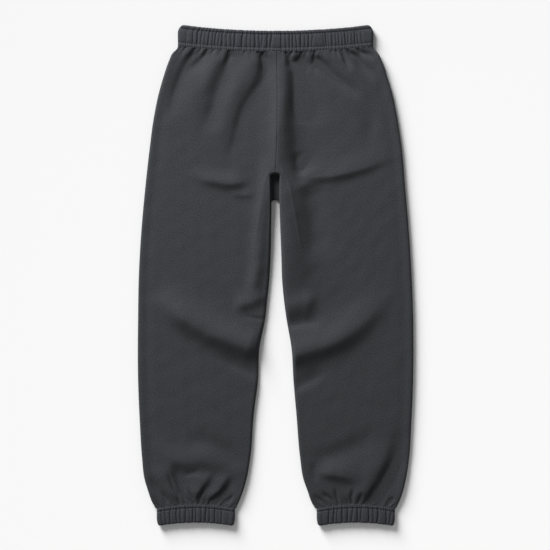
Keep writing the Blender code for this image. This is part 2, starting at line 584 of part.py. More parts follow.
def elastic_tube(half_at, gathers, section, under_steps, across):
    """Points of a flattened elastic tube: stations round it by points round its wall.

    half_at(share) is half the width, and across(x, share) the y, at a share of the way from the
    free edge (0) to the seam (1)."""
    section = np.array(section)
    share = section[:, 0] / section[-1, 0]
    x0, turn, furrow = tube_stations(half_at(1.0), gathers, under_steps).T
    angle = np.radians(turn)[:, None]
    end = np.sign(x0)[:, None] * (turn[:, None] > 0) * (turn[:, None] < 180)
    end_half, middle_half = TUBE_HOLLOW
    middle_z = TUBE_WALL + middle_half
    upper = np.clip(1 - turn / 90, 0, 1)[:, None]
    rib = (GATHER_RIB - (GATHER_DEPTH + GATHER_RIB) * furrow)[:, None] * (turn == 0)[:, None]
    narrowing = half_at(share)[None, :] / half_at(1.0)

    def skin(thickness, widths):
        x = x0[:, None] * widths + end * (end_half + thickness) * np.sin(angle)
        z = middle_z + (middle_half + thickness) * np.cos(angle)
        return x, z

    thickness = section[None, :, 1] + upper * (section[None, :, 2] + rib * section[None, :, 3])
    x, z = skin(thickness, narrowing)
    outer = np.stack((x, across(x, share[None, :]), np.maximum(z, 0.0)), axis=2)
    lining = np.array((share[-1], 0.5, share[1]))
    x, z = skin(np.zeros((1, 3)), (half_at(lining) / half_at(1.0))[None, :])
    inner = np.stack((x, across(x, lining[None, :]), z), axis=2)
    return np.concatenate((outer, inner), axis=1)


def add_tube(name, points, colour):
    """Solid of a tube: the grid closes on itself both round the tube and round its wall."""
    stations, ring = points.shape[:2]
    index = np.arange(stations * ring).reshape(stations, ring)
    next_station = np.roll(index, -1, axis=0)
    faces = np.stack((index, np.roll(index, -1, 1), np.roll(next_station, -1, 1), next_station), axis=2)
    return add_solid(name, points.reshape(-1, 3), faces.reshape(-1, 4), colour)


def half_width(half, free_half, narrowing):
    """Half a tube's width as a function of the share of the way from its free edge to its seam."""
    def half_at(share):
        return half - (half - free_half) * (1 - np.minimum(share / narrowing, 1)) ** 2

    return half_at


def waistband():
    def across(x, share):
        free = HALF_LENGTH - arch(x, WAIST_FREE_SPAN, WAIST_FREE_DIP)
        sewn = waist_seam(x) + SEAM_GAP / 2
        return free + share * (sewn - free)

    half_at = half_width(WAIST_HALF, WAIST_FREE_HALF, WAIST_NARROWING)
    return elastic_tube(half_at, WAIST_GATHERS, WAISTBAND_SECTION, WAIST_UNDER_STEPS, across)


def cuff(side):
    centre = CUFF_CENTRE[side]

    def across(x, share):
        free = -HALF_LENGTH + arch(x, CUFF_FREE_SPAN, CUFF_FREE_RISE)
        sewn = cuff_seam(side, x + centre) - SEAM_GAP / 2
        return free + share * (sewn - free)

    half_at = half_width(CUFF_HALF, CUFF_FREE_HALF, CUFF_NARROWING)
    points = elastic_tube(half_at, CUFF_GATHERS[side], CUFF_SECTION, CUFF_UNDER_STEPS, across)
    return points + np.array((centre, 0.0, 0.0))


# ---------------------------------------------------------------- the garment
CHARCOAL = (0.055, 0.056, 0.060)
CHARCOAL_BAND = (0.050, 0.051, 0.056)
ROUGHNESS = 0.95
SHARPEST = 50.0             # degrees between two faces that are still shaded as one


def clear_scene():
    for item in list(bpy.data.objects):
        bpy.data.objects.remove(item, do_unlink=True)


def main():
    clear_scene()
    for side in ("left", "right"):
        add_panel("front_" + side, *front_panel(side), CHARCOAL)
        add_panel("back_" + side, *back_panel(side), CHARCOAL)
        add_tube("cuff_" + side, cuff(side), CHARCOAL_BAND)
    add_tube("waistband", waistband(), CHARCOAL_BAND)


main()
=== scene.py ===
import bpy
import numpy as np
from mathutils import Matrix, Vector


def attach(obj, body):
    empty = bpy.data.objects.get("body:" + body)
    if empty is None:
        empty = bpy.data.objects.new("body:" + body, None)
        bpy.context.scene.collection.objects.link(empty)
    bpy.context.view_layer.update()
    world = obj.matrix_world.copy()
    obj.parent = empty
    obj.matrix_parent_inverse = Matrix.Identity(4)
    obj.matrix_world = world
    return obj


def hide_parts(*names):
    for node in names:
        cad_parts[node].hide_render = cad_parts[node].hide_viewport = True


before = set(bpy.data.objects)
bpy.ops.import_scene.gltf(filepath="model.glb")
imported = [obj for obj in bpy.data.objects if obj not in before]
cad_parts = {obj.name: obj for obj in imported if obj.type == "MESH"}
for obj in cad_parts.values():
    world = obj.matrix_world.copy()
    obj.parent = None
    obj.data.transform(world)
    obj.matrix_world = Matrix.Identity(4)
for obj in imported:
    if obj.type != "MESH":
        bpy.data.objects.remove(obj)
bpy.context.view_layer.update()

# Jogger sweatpants laid flat, the front up. x runs to the right, y towards the waistband and z up from
# the floor, and left and right are as seen from above.
mm = 0.001      # shapes are worked out in millimetres and stored in metres
farAway = 1e3   # distance that keeps a seam's effect off where the seam isn't


# value of a table's column at y, on a smooth cubic through its rows
def tableAt(table, y, column=1):
    rows = np.array(sorted(table), float)
    knots, values = rows[:, 0], rows[:, column]
    slopes = np.gradient(values, knots)
    y = np.clip(y, knots[0], knots[-1])
    i = np.clip(np.searchsorted(knots, y) - 1, 0, len(knots) - 2)
    step = knots[i + 1] - knots[i]
    t = (y - knots[i]) / step
    return (values[i] * (1 + 2 * t) * (1 - t) ** 2 + slopes[i] * step * t * (1 - t) ** 2
            + values[i + 1] * t * t * (3 - 2 * t) - slopes[i + 1] * step * t * t * (1 - t))


# quarter of a circle: upright at q = 0, level at 1 from q = 1 on
def quarterRound(q):
    return np.sqrt(1 - (1 - np.clip(q, 0, 1)) ** 2)


# cubic from 0 to 1 that starts and ends level: 3 q squared less 2 q cubed
def ease(q):
    q = np.clip(q, 0, 1)
    return q * q * (3 - 2 * q)


# 1 on a line, fading as a Gaussian with its own width on either side
def bell(distance, left, right=None):
    return np.exp(-(distance / np.where(distance > 0, left, left if right is None else right)) ** 2)


# ridge along a line, or a groove where its height is negative, with a Gaussian section
def ridge(distance, height, width):
    return height * bell(distance, width)


# signed distance (+ on the left hand) to a polyline, and the share of its run that is passed
def distanceToCurve(x, y, curve):
    nearest, side, along = np.full(x.shape, np.inf), np.ones(x.shape), np.zeros(x.shape)
    lengths = np.hypot(*np.diff(curve, axis=0).T)
    starts = np.concatenate(([0], np.cumsum(lengths)))
    for k in range(len(lengths)):
        (ax, ay), (dx, dy) = curve[k], curve[k + 1] - curve[k]
        t = np.clip(((x - ax) * dx + (y - ay) * dy) / (dx * dx + dy * dy), 0, 1)
        ex, ey = x - ax - t * dx, y - ay - t * dy
        distance = np.hypot(ex, ey)
        closer = distance < nearest
        nearest = np.where(closer, distance, nearest)
        side = np.where(closer, np.where(dx * ey - dy * ex < 0, -1.0, 1.0), side)
        along = np.where(closer, (starts[k] + t * lengths[k]) / starts[-1], along)
    return nearest * side, along


# smooth curve through points given as x, y, x, y, ...: cubics with the neighbours' chords as slopes
def smoothPath(path, between=4):
    points = np.array(path, float).reshape(-1, 2)
    slopes = np.gradient(points, axis=0)
    t = np.linspace(0, 1, between, endpoint=False)[:, None]
    parts = [points[k] * (1 + 2 * t) * (1 - t) ** 2 + slopes[k] * t * (1 - t) ** 2
             + points[k + 1] * t * t * (3 - 2 * t) - slopes[k + 1] * t * t * (1 - t)
             for k in range(len(points) - 1)]
    return np.concatenate((*parts, points[-1:]))


# unevenness of soft cloth: plane waves of random length and heading, added to a spread of size
def wobble(x, y, size, shortest, longest, seed, count=24):
    dice = np.random.default_rng(seed)
    length = dice.uniform(shortest, longest, count)
    heading = dice.uniform(0, 2 * np.pi, count)
    phase = dice.uniform(0, 2 * np.pi, count)
    turn = 2 * np.pi / length
    waves = np.sin(x[..., None] * turn * np.cos(heading) + y[..., None] * turn * np.sin(heading) + phase)
    return size * waves.sum(-1) * np.sqrt(2 / count)


# a mesh from points in millimetres: faces turned outwards by the sign of the volume, uv in metres
def addPiece(name, points, faces, uv, material, sharpest=50):
    a, b, c, d = (points[faces[:, k]] for k in range(4))
    volume = (a * np.cross(b, c)).sum() + (a * np.cross(c, d)).sum()
    if volume < 0:
        faces = faces[:, ::-1]
    mesh = bpy.data.meshes.new(name)
    mesh.from_pydata((points * mm).tolist(), [], faces.tolist())
    layer = mesh.uv_layers.new(name="clothMap")
    layer.data.foreach_set("uv", (uv * mm)[faces.ravel()].ravel())
    mesh.shade_smooth()
    mesh.set_sharp_from_angle(angle=np.radians(sharpest))
    mesh.materials.append(material)
    piece = bpy.data.objects.new(name, mesh)
    bpy.context.scene.collection.objects.link(piece)
    return piece


# quads of a grid of points whose rows (and columns) close on themselves where asked
def gridFaces(rows, columns, closedRows=False, closedColumns=False, start=0):
    index = start + np.arange(rows * columns).reshape(rows, columns)
    if closedRows:
        index = np.concatenate((index, index[:1]))
    if closedColumns:
        index = np.concatenate((index, index[:, :1]), axis=1)
    return np.stack((index[:-1, :-1], index[:-1, 1:], index[1:, 1:], index[1:, :-1]), axis=2).reshape(-1, 4)


# quads that join the edges of two equal grids, the second stored after the first
def borderFaces(rows, columns):
    index = np.arange(rows * columns).reshape(rows, columns)
    loop = np.concatenate((index[0, :-1], index[:-1, -1], index[-1, :0:-1], index[:0:-1, 0]))
    following = np.roll(loop, -1)
    offset = rows * columns
    return np.stack((loop, following, following + offset, loop + offset), axis=1)


# cloth coordinates in millimetres: the lengths walked over the surface along its rows and columns
def clothMap(points, middle):
    across = np.cumsum(np.linalg.norm(np.diff(points, axis=1, prepend=points[:, :1]), axis=2), axis=1)
    down = np.cumsum(np.linalg.norm(np.diff(points, axis=0, prepend=points[:1]), axis=2), axis=0)
    u = across - across[:, middle:middle + 1] + points[:, middle:middle + 1, 0]
    v = np.broadcast_to(down[:, middle:middle + 1], u.shape)
    return np.stack((u, -v), axis=2)


# linear colour of an sRGB hex code: a straight toe, then a power of 2.4
def toLinear(code):
    s = np.array([int(code[k:k + 2], 16) for k in (1, 3, 5)]) / 255
    return (*np.where(s <= 0.04045, s / 12.92, ((s + 0.055) / 1.055) ** 2.4), 1.0)


# a node's inputs, by name or as i and a number: each is given a value, or an output to join
def feed(tree, node, **inputs):
    for key, value in inputs.items():
        socket = node.inputs[int(key[1:]) if key[1:].isdigit() else key.replace("_", " ")]
        if isinstance(value, bpy.types.NodeSocket):
            tree.links.new(value, socket)
        else:
            socket.default_value = value


# one shader node with its settings and its links
def addNode(tree, kind, settings=None, **inputs):
    node = tree.nodes.new(kind)
    for key, value in (settings or {}).items():
        setattr(node, key, value)
    feed(tree, node, **inputs)
    return node


# a material with its node tree and its one shader
def newMaterial(name):
    material = bpy.data.materials.new(name)
    material.use_nodes = True
    return material, material.node_tree, material.node_tree.nodes["Principled BSDF"]


# scale that gives a wave texture this spacing in millimetres: at 1 its waves are 2 pi / 20 long
def waveScale(spacing):
    return 2 * np.pi / 20 / (spacing * mm)


knit = {        # sizes of the pattern's parts
    "fleck": 2.2,           # melange speckle: yarn is 0.6 mm thick, drawn coarser so that it shows
    "patch": 25.0,          # patches in which the nap lies one way
    "wale": 1.8,            # jersey wales are 0.9 mm apart, drawn at twice that
    "fibre": 1.1,           # loose fibres over them
    "nap": 0.05, "ribs": 0.5,       # strength of the patches, and of the wales beside the fibres
    "spread": (0.38, 0.62),         # noise at which the yarn is darkest and lightest
}


# Brushed cotton fleece, knitted as jersey from dark melange yarn. Its fibres end all over the face,
# so it is matt with a faint sheen, slightly speckled, and mottled where the nap lies over.
def brushedFleece(name, dark, light):
    material, tree, shader = newMaterial(name)
    cloth = addNode(tree, "ShaderNodeUVMap", {"uv_map": "clothMap"}).outputs[0]
    fleck = addNode(tree, "ShaderNodeTexNoise", Vector=cloth, Scale=1 / (knit["fleck"] * mm), Detail=3.0,
                    Roughness=0.6)
    patch = addNode(tree, "ShaderNodeTexNoise", Vector=cloth, Scale=1 / (knit["patch"] * mm), Detail=2.0,
                    Roughness=0.5)
    both = addNode(tree, "ShaderNodeMath", {"operation": "MULTIPLY_ADD"},
                   i0=patch.outputs["Fac"], i1=knit["nap"], i2=fleck.outputs["Fac"])
    darkest, lightest = (edge + knit["nap"] / 2 for edge in knit["spread"])
    spread = addNode(tree, "ShaderNodeMapRange", Value=both.outputs[0], From_Min=darkest, From_Max=lightest)
    tone = addNode(tree, "ShaderNodeMix", {"data_type": "RGBA"}, Factor=spread.outputs[0],
                   i6=toLinear(dark), i7=toLinear(light))
    wale = addNode(tree, "ShaderNodeTexWave", {"bands_direction": "X"}, Vector=cloth,
                   Scale=waveScale(knit["wale"]), Distortion=1.2, Detail=2.0, Detail_Scale=2.0)
    fibre = addNode(tree, "ShaderNodeTexNoise", Vector=cloth, Scale=1 / (knit["fibre"] * mm), Detail=3.0,
                    Roughness=0.65)
    relief = addNode(tree, "ShaderNodeMath", {"operation": "MULTIPLY_ADD"},
                     i0=wale.outputs["Fac"], i1=knit["ribs"], i2=fibre.outputs["Fac"])
    bump = addNode(tree, "ShaderNodeBump", Height=relief.outputs[0], Strength=0.35, Distance=0.0004)
    feed(tree, shader, Base_Color=tone.outputs[2], Normal=bump.outputs[0], Roughness=0.92,
         Specular_IOR_Level=0.15, Sheen_Weight=0.2, Sheen_Roughness=0.3, Sheen_Tint=toLinear("#b9bcc4"))
    return material


# Polyester sewing thread in the fleece's colour: a little smoother than the cloth, so it catches light.
def sewingThread(name, colour):
    material, tree, shader = newMaterial(name)
    along = addNode(tree, "ShaderNodeUVMap", {"uv_map": "clothMap"}).outputs[0]
    # two plies twisted once every 1.2 mm
    ply = addNode(tree, "ShaderNodeTexWave", {"bands_direction": "DIAGONAL"}, Vector=along,
                  Scale=waveScale(1.2))
    # the raised crown of each ply is painted lighter grey: a painted highlight on thread of one colour
    tone = addNode(tree, "ShaderNodeMix", {"data_type": "RGBA"}, Factor=ply.outputs["Fac"],
                   i6=toLinear(colour), i7=toLinear("#4b4c51"))
    bump = addNode(tree, "ShaderNodeBump", Height=ply.outputs["Fac"], Strength=0.4, Distance=0.0002)
    feed(tree, shader, Base_Color=tone.outputs[2], Normal=bump.outputs[0], Roughness=0.6)
    return material


fleece = brushedFleece("brushedCottonFleece", "#2a2b2e", "#3a3b3e")
bandFleece = brushedFleece("gatheredCottonFleece", "#292a2e", "#393a3e")
cuffFleece = brushedFleece("stretchedCottonFleece", "#2c2d31", "#3d3e42")      # paler where it is stretched
thread = sewingThread("charcoalThread", "#2c2d30")
print("materials made")

legs = {
    "wall": 2.0,            # fleece thickness
    "loft": 10.0,           # height of both layers and the air between them
    "lowest": 4.9,          # the upper half never sinks under this
    "edgeLowest": 8.0,      # nor, within edgeReach of its rolled edges, under this
    "edgeReach": 14.0,
    "softness": 2.0,        # square of the height over which it comes to rest on them
    "unevenness": (0.13, 26, 80),       # size, shortest and longest wave
    "unevenSeed": {"left": 5, "right": 6},
    "rim": 4.35,            # where the upper and the lower half meet
    "sideRoll": 4.6,        # width of the rolled side edge
    "crispInseam": 0.55,    # width of the outside's roll along the inseam, as a share of the inside's
    "backRoll": 5.0,
    "sidePuff": (0.6, 8.0, 6.0),        # height, distance from the side, width
    "sideValley": (-0.5, 20.0, 9.0),
    "waistHeight": 13.2,    # top of a panel where it meets the waistband
    "cuffHeight": 8.8,      # and where it meets a cuff
    "seamSwell": 32.0,      # length over which it swells from those,
    "seamTuck": 16.0,       # and over which it sinks
    "tuckStart": 0.40,      # after the share of its depth that it has at the seam
    "drawnIn": 0.60,        # width of a trough at the waist seam, as a share of its own
    "drawnOver": 34.0,      # which it has at this distance from it
    "puckerFloor": 6.6,     # gathers at the seams go no lower,
    "puckerStart": 2.5,     # and come up over this distance from them
    "anklePucker": 0.75,    # strength of those at the ankles
    "frontNotchY": 205.0,   # crotch point of the upper half
    "backNotchY": 153.0,    # and of the lower half
    "notchRadius": 4.5,
    "crotchLump": (2.2, 13.0, 148.0, 212.0, 8.0),   # height, half width, y, y, fade
}
outwards = {"left": -1.0, "right": 1.0}     # which way x grows from the body seam

# what the sewing adds to the legs
sewing = {
    "gap": 0.1,                                 # each piece stays this far from a seam
    "lip": {"left": 0.45, "right": 0.2},        # the body seam's allowance is turned to the left
    "lipAt": 3.6, "lipWidth": 2.2,
    "topstitchAt": 3.8, "topstitchWidth": 0.9,
    "bodySeam": (-0.8, 1.0), "bandSeam": (-0.5, 1.0),       # height and width of the groove
    "ripple": 0.4, "rippleReach": 4.0,          # small gathers at the bands' seams
    "detailRoom": 0.4,                          # keeps all this off the wall's inside
    "sideSeam": (0.6, 0.9),                     # draws the side edge in: depth, width
    "backBodySeam": (0.9, 1.6), "backBandSeam": (0.8, 1.8),
    "backPucker": 0.5, "backDeepest": 1.1,
}

# column of the two tables that follow for each leg
legColumn = {"left": 1, "right": 2}

# outer edge of the garment: y, x of the left leg, x of the right leg
sideEdge = (
    (470.0, -199.0, 199.0), (461.0, -201.5, 201.0), (454.0, -209.0, 208.0), (438.0, -217.0, 216.5),
    (405.0, -228.5, 227.5), (372.0, -238.0, 237.5), (324.0, -248.0, 247.5), (258.0, -257.0, 257.5),
    (177.0, -266.0, 264.5), (95.0, -273.5, 271.5), (-2.0, -279.0, 277.5), (-84.0, -280.5, 280.5),
    (-215.0, -280.5, 280.5), (-300.0, -277.0, 277.0), (-372.0, -272.5, 272.5), (-415.0, -267.5, 266.0),
    (-440.0, -260.0, 260.0), (-460.0, -253.0, 253.0), (-480.0, -242.0, 243.0),
)

# inner edge of each leg from the crotch to the cuff: y, left leg, right leg
inseamEdge = (
    (200.0, -9.5, 7.5), (160.0, -8.5, 7.5), (95.0, -9.0, 9.5), (30.0, -10.5, 12.0), (-5.0, -12.5, 13.0),
    (-50.0, -17.0, 17.0), (-84.0, -20.5, 21.5), (-150.0, -33.0, 32.5), (-215.0, -36.0, 36.5),
    (-284.0, -44.5, 42.5), (-372.0, -51.5, 50.0), (-415.0, -59.0, 56.5), (-445.0, -68.0, 67.0),
    (-460.0, -74.0, 72.0), (-480.0, -83.0, 84.0),
)

# seam down the middle of the body: y, x
centreSeam = ((470.0, 3.2), (280.0, 2.8), (230.0, 1.0), (205.0, -0.4))

# width of the roll along the inseam: y, width
inseamRoll = (
    (480.0, 7.0), (215.0, 7.0), (150.0, 7.0), (100.0, 9.0), (40.0, 12.0), (0.0, 14.0), (-100.0, 16.0),
    (-300.0, 12.0), (-480.0, 8.0),
)

# ridge that runs down the left hip, first along its crest and then as the broad swelling that carries it
leftHip = (-45, 476, -55, 438, -70, 405, -86, 372, -98, 343, -106, 308, -114, 271, -124, 240)

# each fold of the upper half: its height, the widths of its left and right flanks as one walks along it,
# the shares of its run over which it comes and goes, and the points x, y, x, y, ... that it runs through
folds = (
    # height, left, right, lead, tail, path
    (6.5, 28, 15, 0.60, 0.30, (6, 478, 6, 400, 6, 330, 6, 235, 5, 175)),                  # over the crotch
    (6.5, 32, 28, 0.55, 0.45, (6, 380, 6, 300, 5, 230, 5, 175)),
    (4.0, 15, 16, 0.50, 0.45, (15, 478, 15, 440, 16, 400, 15, 350, 13, 300, 10, 250)),
    (1.0, 75, 120, 0.20, 0.20, (-235, 385, -140, 388, -30, 385)),
    (3.0, 60, 95, 0.02, 0.02, (-260, 462, 260, 462)),
    (-7.2, 50, 13, 0.16, 0.35, (39, 450, 39, 430, 40, 400, 43, 350, 45, 300)),
    (-4.0, 60, 16, 0.35, 0.10, (38, 380, 40, 330, 44, 275, 46, 236, 52, 208, 60, 180)),
    (-4.5, 9, 8, 0.02, 0.35, (24, 474, 26, 452, 29, 432, 32, 414)),
    (-4.5, 18, 10, 0.02, 0.40, (60, 474, 56, 452, 48, 432, 43, 412)),
    (6.5, 15, 14, 0.25, 0.15, (-8, 250, -14, 230, -19, 205, -20, 180, -23, 159, -28, 128, -31, 97, -33, 67,
        -35, 36, -39, 6, -46, -24, -62, -50)),                     # inner thighs
    (14.0, 42, 30, 0.30, 0.45, (6, 262, 10, 230, 13, 205, 15, 187, 17, 157, 20, 128, 22, 97, 24, 67, 27, 36,
        30, 6, 33, -20, 38, -50, 42, -84)),
    (-4.0, 30, 12, 0.40, 0.40, (43, 256, 45, 234, 49, 214, 55, 196)),
    (-5.0, 30, 22, 0.20, 0.35, (60, 192, 66, 178, 70, 160, 75, 128, 78, 97, 80, 60, 80, 20)),
    (0.9, 3, 3, 0.10, 0.40, (-4, 226, -16, 205, -23, 187, -28, 157, -32, 128, -38, 91, -44, 50, -49, 14)),
    (0.9, 3, 3, 0.10, 0.40, (7, 226, 18, 205, 27, 187, 34, 157, 39, 128, 46, 91, 54, 50, 59, 28)),
    (3.0, 17, 22, 0.25, 0.60, (-112, 474, -122, 440, -139, 400, -151, 375, -168, 338, -184, 296)),  # left hip
    (-4.8, 32, 15, 0.05, 0.35, (-82, 472, -87, 452, -95, 431, -106, 406, -117, 372, -128, 334, -142, 302,
        -156, 268)),
    (3.4, 20, 20, 0.45, 0.40, leftHip),
    (2.8, 42, 55, 0.60, 0.40, leftHip),
    (-5.0, 18, 17, 0.05, 0.50, (-28, 472, -25, 451, -22, 430, -28, 405, -46, 380)),
    (3.0, 9, 20, 0.05, 0.50, (-42, 474, -39, 451, -37, 430, -44, 405, -62, 372)),
    (-3.0, 26, 9, 0.30, 0.35, (-27, 472, -22, 451, -18, 425, -24, 399, -47, 369, -66, 338, -76, 305, -84, 270,
        -95, 242, -124, 228)),
    (-4.5, 6, 6, 0.02, 0.60, (-32, 474, -28, 452, -23, 428, -27, 404)),
    (-2.5, 7, 5, 0.02, 0.70, (-88, 474, -92, 452, -101, 430, -108, 414)),
    (-5.0, 20, 10, 0.04, 0.50, (-152, 476, -162, 456, -176, 438, -190, 412, -204, 372, -212, 340, -218, 300)),
    (-4.6, 20, 9, 0.03, 0.45, (-128, 474, -136, 458, -149, 441, -168, 420, -186, 402)),
    (-2.5, 6, 5, 0.05, 0.50, (80, 474, 79, 436, 80, 400)),                                # right hip
    (-6.5, 10, 12, 0.15, 0.55, (74, 452, 88, 436, 108, 415, 131, 396, 154, 378, 185, 352)),
    (-5.0, 7, 5, 0.03, 0.50, (126, 472, 130, 460, 139, 444, 147, 428, 153, 410)),
    (-6.0, 8, 10, 0.03, 0.50, (132, 472, 145, 458, 162, 446, 174, 430, 192, 412, 212, 396)),
    (-5.0, 8, 7, 0.03, 0.50, (160, 474, 172, 458, 188, 448, 204, 438)),
    (1.5, 13, 14, 0.08, 0.70, (108, 476, 150, 432, 196, 362)),
    (-2.0, 5, 5, 0.10, 0.50, (190, 472, 200, 460, 209, 448)),
    (-2.0, 16, 16, 0.40, 0.40, (196, 372, 192, 310, 194, 245)),
    (6.0, 18, 11, 0.50, 0.30, (-182, 208, -160, 201, -118, 190, -83, 187, -48, 197)),     # creases of the lap
    (1.8, 10, 6, 0.40, 0.40, (-98, 167, -66, 163, -38, 165)),
    (5.5, 26, 11, 0.16, 0.55, (44, 208, 56, 201, 80, 202, 120, 204, 171, 216, 222, 236, 262, 254)),
    (5.2, 18, 14, 0.35, 0.25, (-90, -58, -66, -58, -48, -53, -34, -45, -20, -38)),         # left knee
    (14.0, 32, 23, 0.35, 0.14, (-250, -24, -194, -80, -138, -114, -80, -136, -46, -148, -22, -156)),
    (-2.5, 18, 10, 0.50, 0.05, (-130, -160, -80, -184, -24, -208)),
    (-1.5, 4, 4, 0.40, 0.10, (-66, -80, -46, -87, -20, -90)),
    (5.0, 22, 26, 0.15, 0.40, (10, -70, 40, -62, 64, -58, 92, -62)),                      # right knee
    (-4.0, 22, 9, 0.15, 0.40, (10, -104, 36, -100, 62, -96, 84, -95, 100, -98)),
    (1.5, 15, 15, 0.50, 0.50, (50, -52, 68, -50, 86, -54)),
    (12.5, 33, 22, 0.03, 0.60, (16, -166, 43, -159, 74, -149, 118, -135, 162, -107, 195, -75, 219, -46,
        240, -8)),
    (-3.5, 19, 10, 0.05, 0.50, (26, -234, 66, -216, 116, -184)),
    (-3.0, 18, 18, 0.35, 0.35, (-190, -330, -150, -339, -110, -355, -75, -382, -60, -398)),  # left ankle
    (-2.0, 30, 60, 0.30, 0.30, (-260, -440, -165, -432, -70, -440)),
    (5.0, 24, 18, 0.40, 0.35, (-240, -325, -226, -356, -208, -373, -180, -379, -150, -375, -128, -382,
        -113, -398, -108, -416)),
    (-2.0, 7, 6, 0.40, 0.40, (-192, -408, -170, -403, -150, -401)),
    (5.5, 11, 28, 0.30, 0.05, (-136, -396, -144, -418, -158, -438, -165, -458, -167, -484)),
    (-2.5, 16, 9, 0.30, 0.05, (-119, -396, -129, -418, -143, -438, -150, -458, -152, -484)),
    (-5.0, 4, 4, 0.50, 0.02, (-138, -426, -151, -445, -157, -460, -157, -482)),
    (5.5, 10, 24, 0.30, 0.05, (-98, -400, -107, -420, -118, -438, -132, -455, -142, -470, -147, -484)),
    (-2.5, 14, 8, 0.30, 0.05, (-83, -402, -92, -422, -103, -440, -118, -457, -127, -472, -131, -484)),
    (-5.5, 4.5, 4, 0.40, 0.02, (-98, -426, -110, -442, -128, -456, -137, -466, -142, -482)),
    (4.5, 13, 30, 0.30, 0.05, (-226, -374, -217, -404, -207, -432, -200, -455, -195, -474, -193, -484)),
    (-2.5, 18, 12, 0.30, 0.05, (-212, -374, -199, -406, -189, -434, -182, -457, -178, -484)),
    (-4.5, 4, 4, 0.50, 0.02, (-228, -383, -218, -406, -207, -434, -197, -452, -195, -482)),
    (-4.0, 4, 4, 0.50, 0.02, (-214, -393, -207, -408, -197, -430, -185, -452, -177, -464, -173, -480)),
    (-5.0, 3.5, 3.5, 0.50, 0.02, (-180, -428, -175, -443, -170, -454, -167, -466, -166, -482)),
    (-3.0, 9, 9, 0.40, 0.02, (-256, -400, -250, -418, -240, -436, -224, -454, -210, -478)),
    (-3.0, 3.5, 3.5, 0.50, 0.02, (-232, -438, -223, -458, -216, -480)),
    (-3.5, 4, 4, 0.40, 0.02, (-84, -442, -92, -455, -104, -465, -113, -480)),
    (-2.5, 3, 3, 0.40, 0.02, (-149, -450, -147, -464, -147, -482)),
    (-3.5, 18, 20, 0.25, 0.40, (66, -392, 90, -380, 124, -364, 170, -344, 215, -314)),    # right ankle
    (7.0, 26, 12, 0.35, 0.50, (78, -397, 100, -401, 120, -404, 142, -409, 163, -417, 178, -428)),
    (-2.0, 9, 9, 0.40, 0.40, (80, -376, 79, -400, 86, -426)),
    (5.0, 16, 30, 0.35, 0.05, (232, -326, 224, -372, 204, -408, 186, -442, 172, -470, 168, -484)),
    (-6.0, 26, 16, 0.50, 0.02, (254, -300, 249, -335, 243, -360, 236, -384, 226, -406, 215, -427,
        204, -446, 196, -462, 191, -474, 188, -484)),
    (-3.0, 4, 4, 0.40, 0.02, (206, -422, 195, -443, 188, -460, 182, -482)),
    (-4.5, 4.5, 4.5, 0.40, 0.02, (157, -430, 156, -446, 155, -462, 154, -482)),
    (-4.0, 3.5, 3.5, 0.40, 0.02, (176, -438, 173, -452, 169, -464, 166, -482)),
    (-3.5, 4, 4, 0.40, 0.02, (121, -430, 123, -445, 127, -459, 130, -482)),
    (-4.0, 4.5, 4.5, 0.40, 0.02, (93, -438, 102, -449, 114, -459, 125, -478)),
    (-3.0, 4, 4, 0.40, 0.02, (76, -444, 86, -454, 97, -464, 109, -480)),
    (-3.5, 4, 4, 0.40, 0.02, (223, -436, 217, -450, 210, -463, 205, -482)),
    (-3.0, 5, 5, 0.40, 0.02, (244, -448, 238, -458, 228, -468, 222, -482)),
)

# short puckers under the waistband's seam: x at the seam, drift in x over their length, length, depth, width
waistPuckers = (
    (-190, -16, 20, 0.9, 3.0), (-182, -13, 18, 1.3, 2.8), (-164, -11, 18, 1.5, 3.0), (-151, -6, 12, 0.9, 2.4),
    (-139, -9, 18, 1.2, 2.8), (-125, -6, 14, 1.2, 2.6), (-111, -3, 10, 0.8, 2.4), (-95, -5, 22, 1.8, 3.0),
    (-84, 2, 9, 0.8, 2.2), (-72, 0, 8, 0.6, 2.2), (-63, -2, 14, 1.2, 2.6), (-50, 1, 9, 0.7, 2.2),
    (-37, 6, 14, 2.2, 2.6), (-25, -4, 14, 2.2, 2.6), (-16, 0, 9, 1.0, 2.2),
    (12, 0, 8, 0.7, 2.2), (20, 5, 14, 2.2, 2.6), (33, -4, 13, 2.2, 2.6), (43, 4, 12, 2.0, 2.6),
    (54, -6, 14, 2.0, 2.6), (64, -4, 10, 1.0, 2.2), (72, 3, 11, 1.5, 2.4), (81, -3, 12, 1.5, 2.4),
    (96, 1, 8, 0.6, 2.2), (113, 3, 12, 1.2, 2.4), (122, 7, 16, 1.5, 2.6), (134, 7, 14, 1.3, 2.4),
    (146, 8, 16, 1.3, 2.6), (165, 14, 20, 1.5, 2.8), (179, 12, 16, 1.0, 2.6), (189, 16, 18, 1.2, 2.8),
)
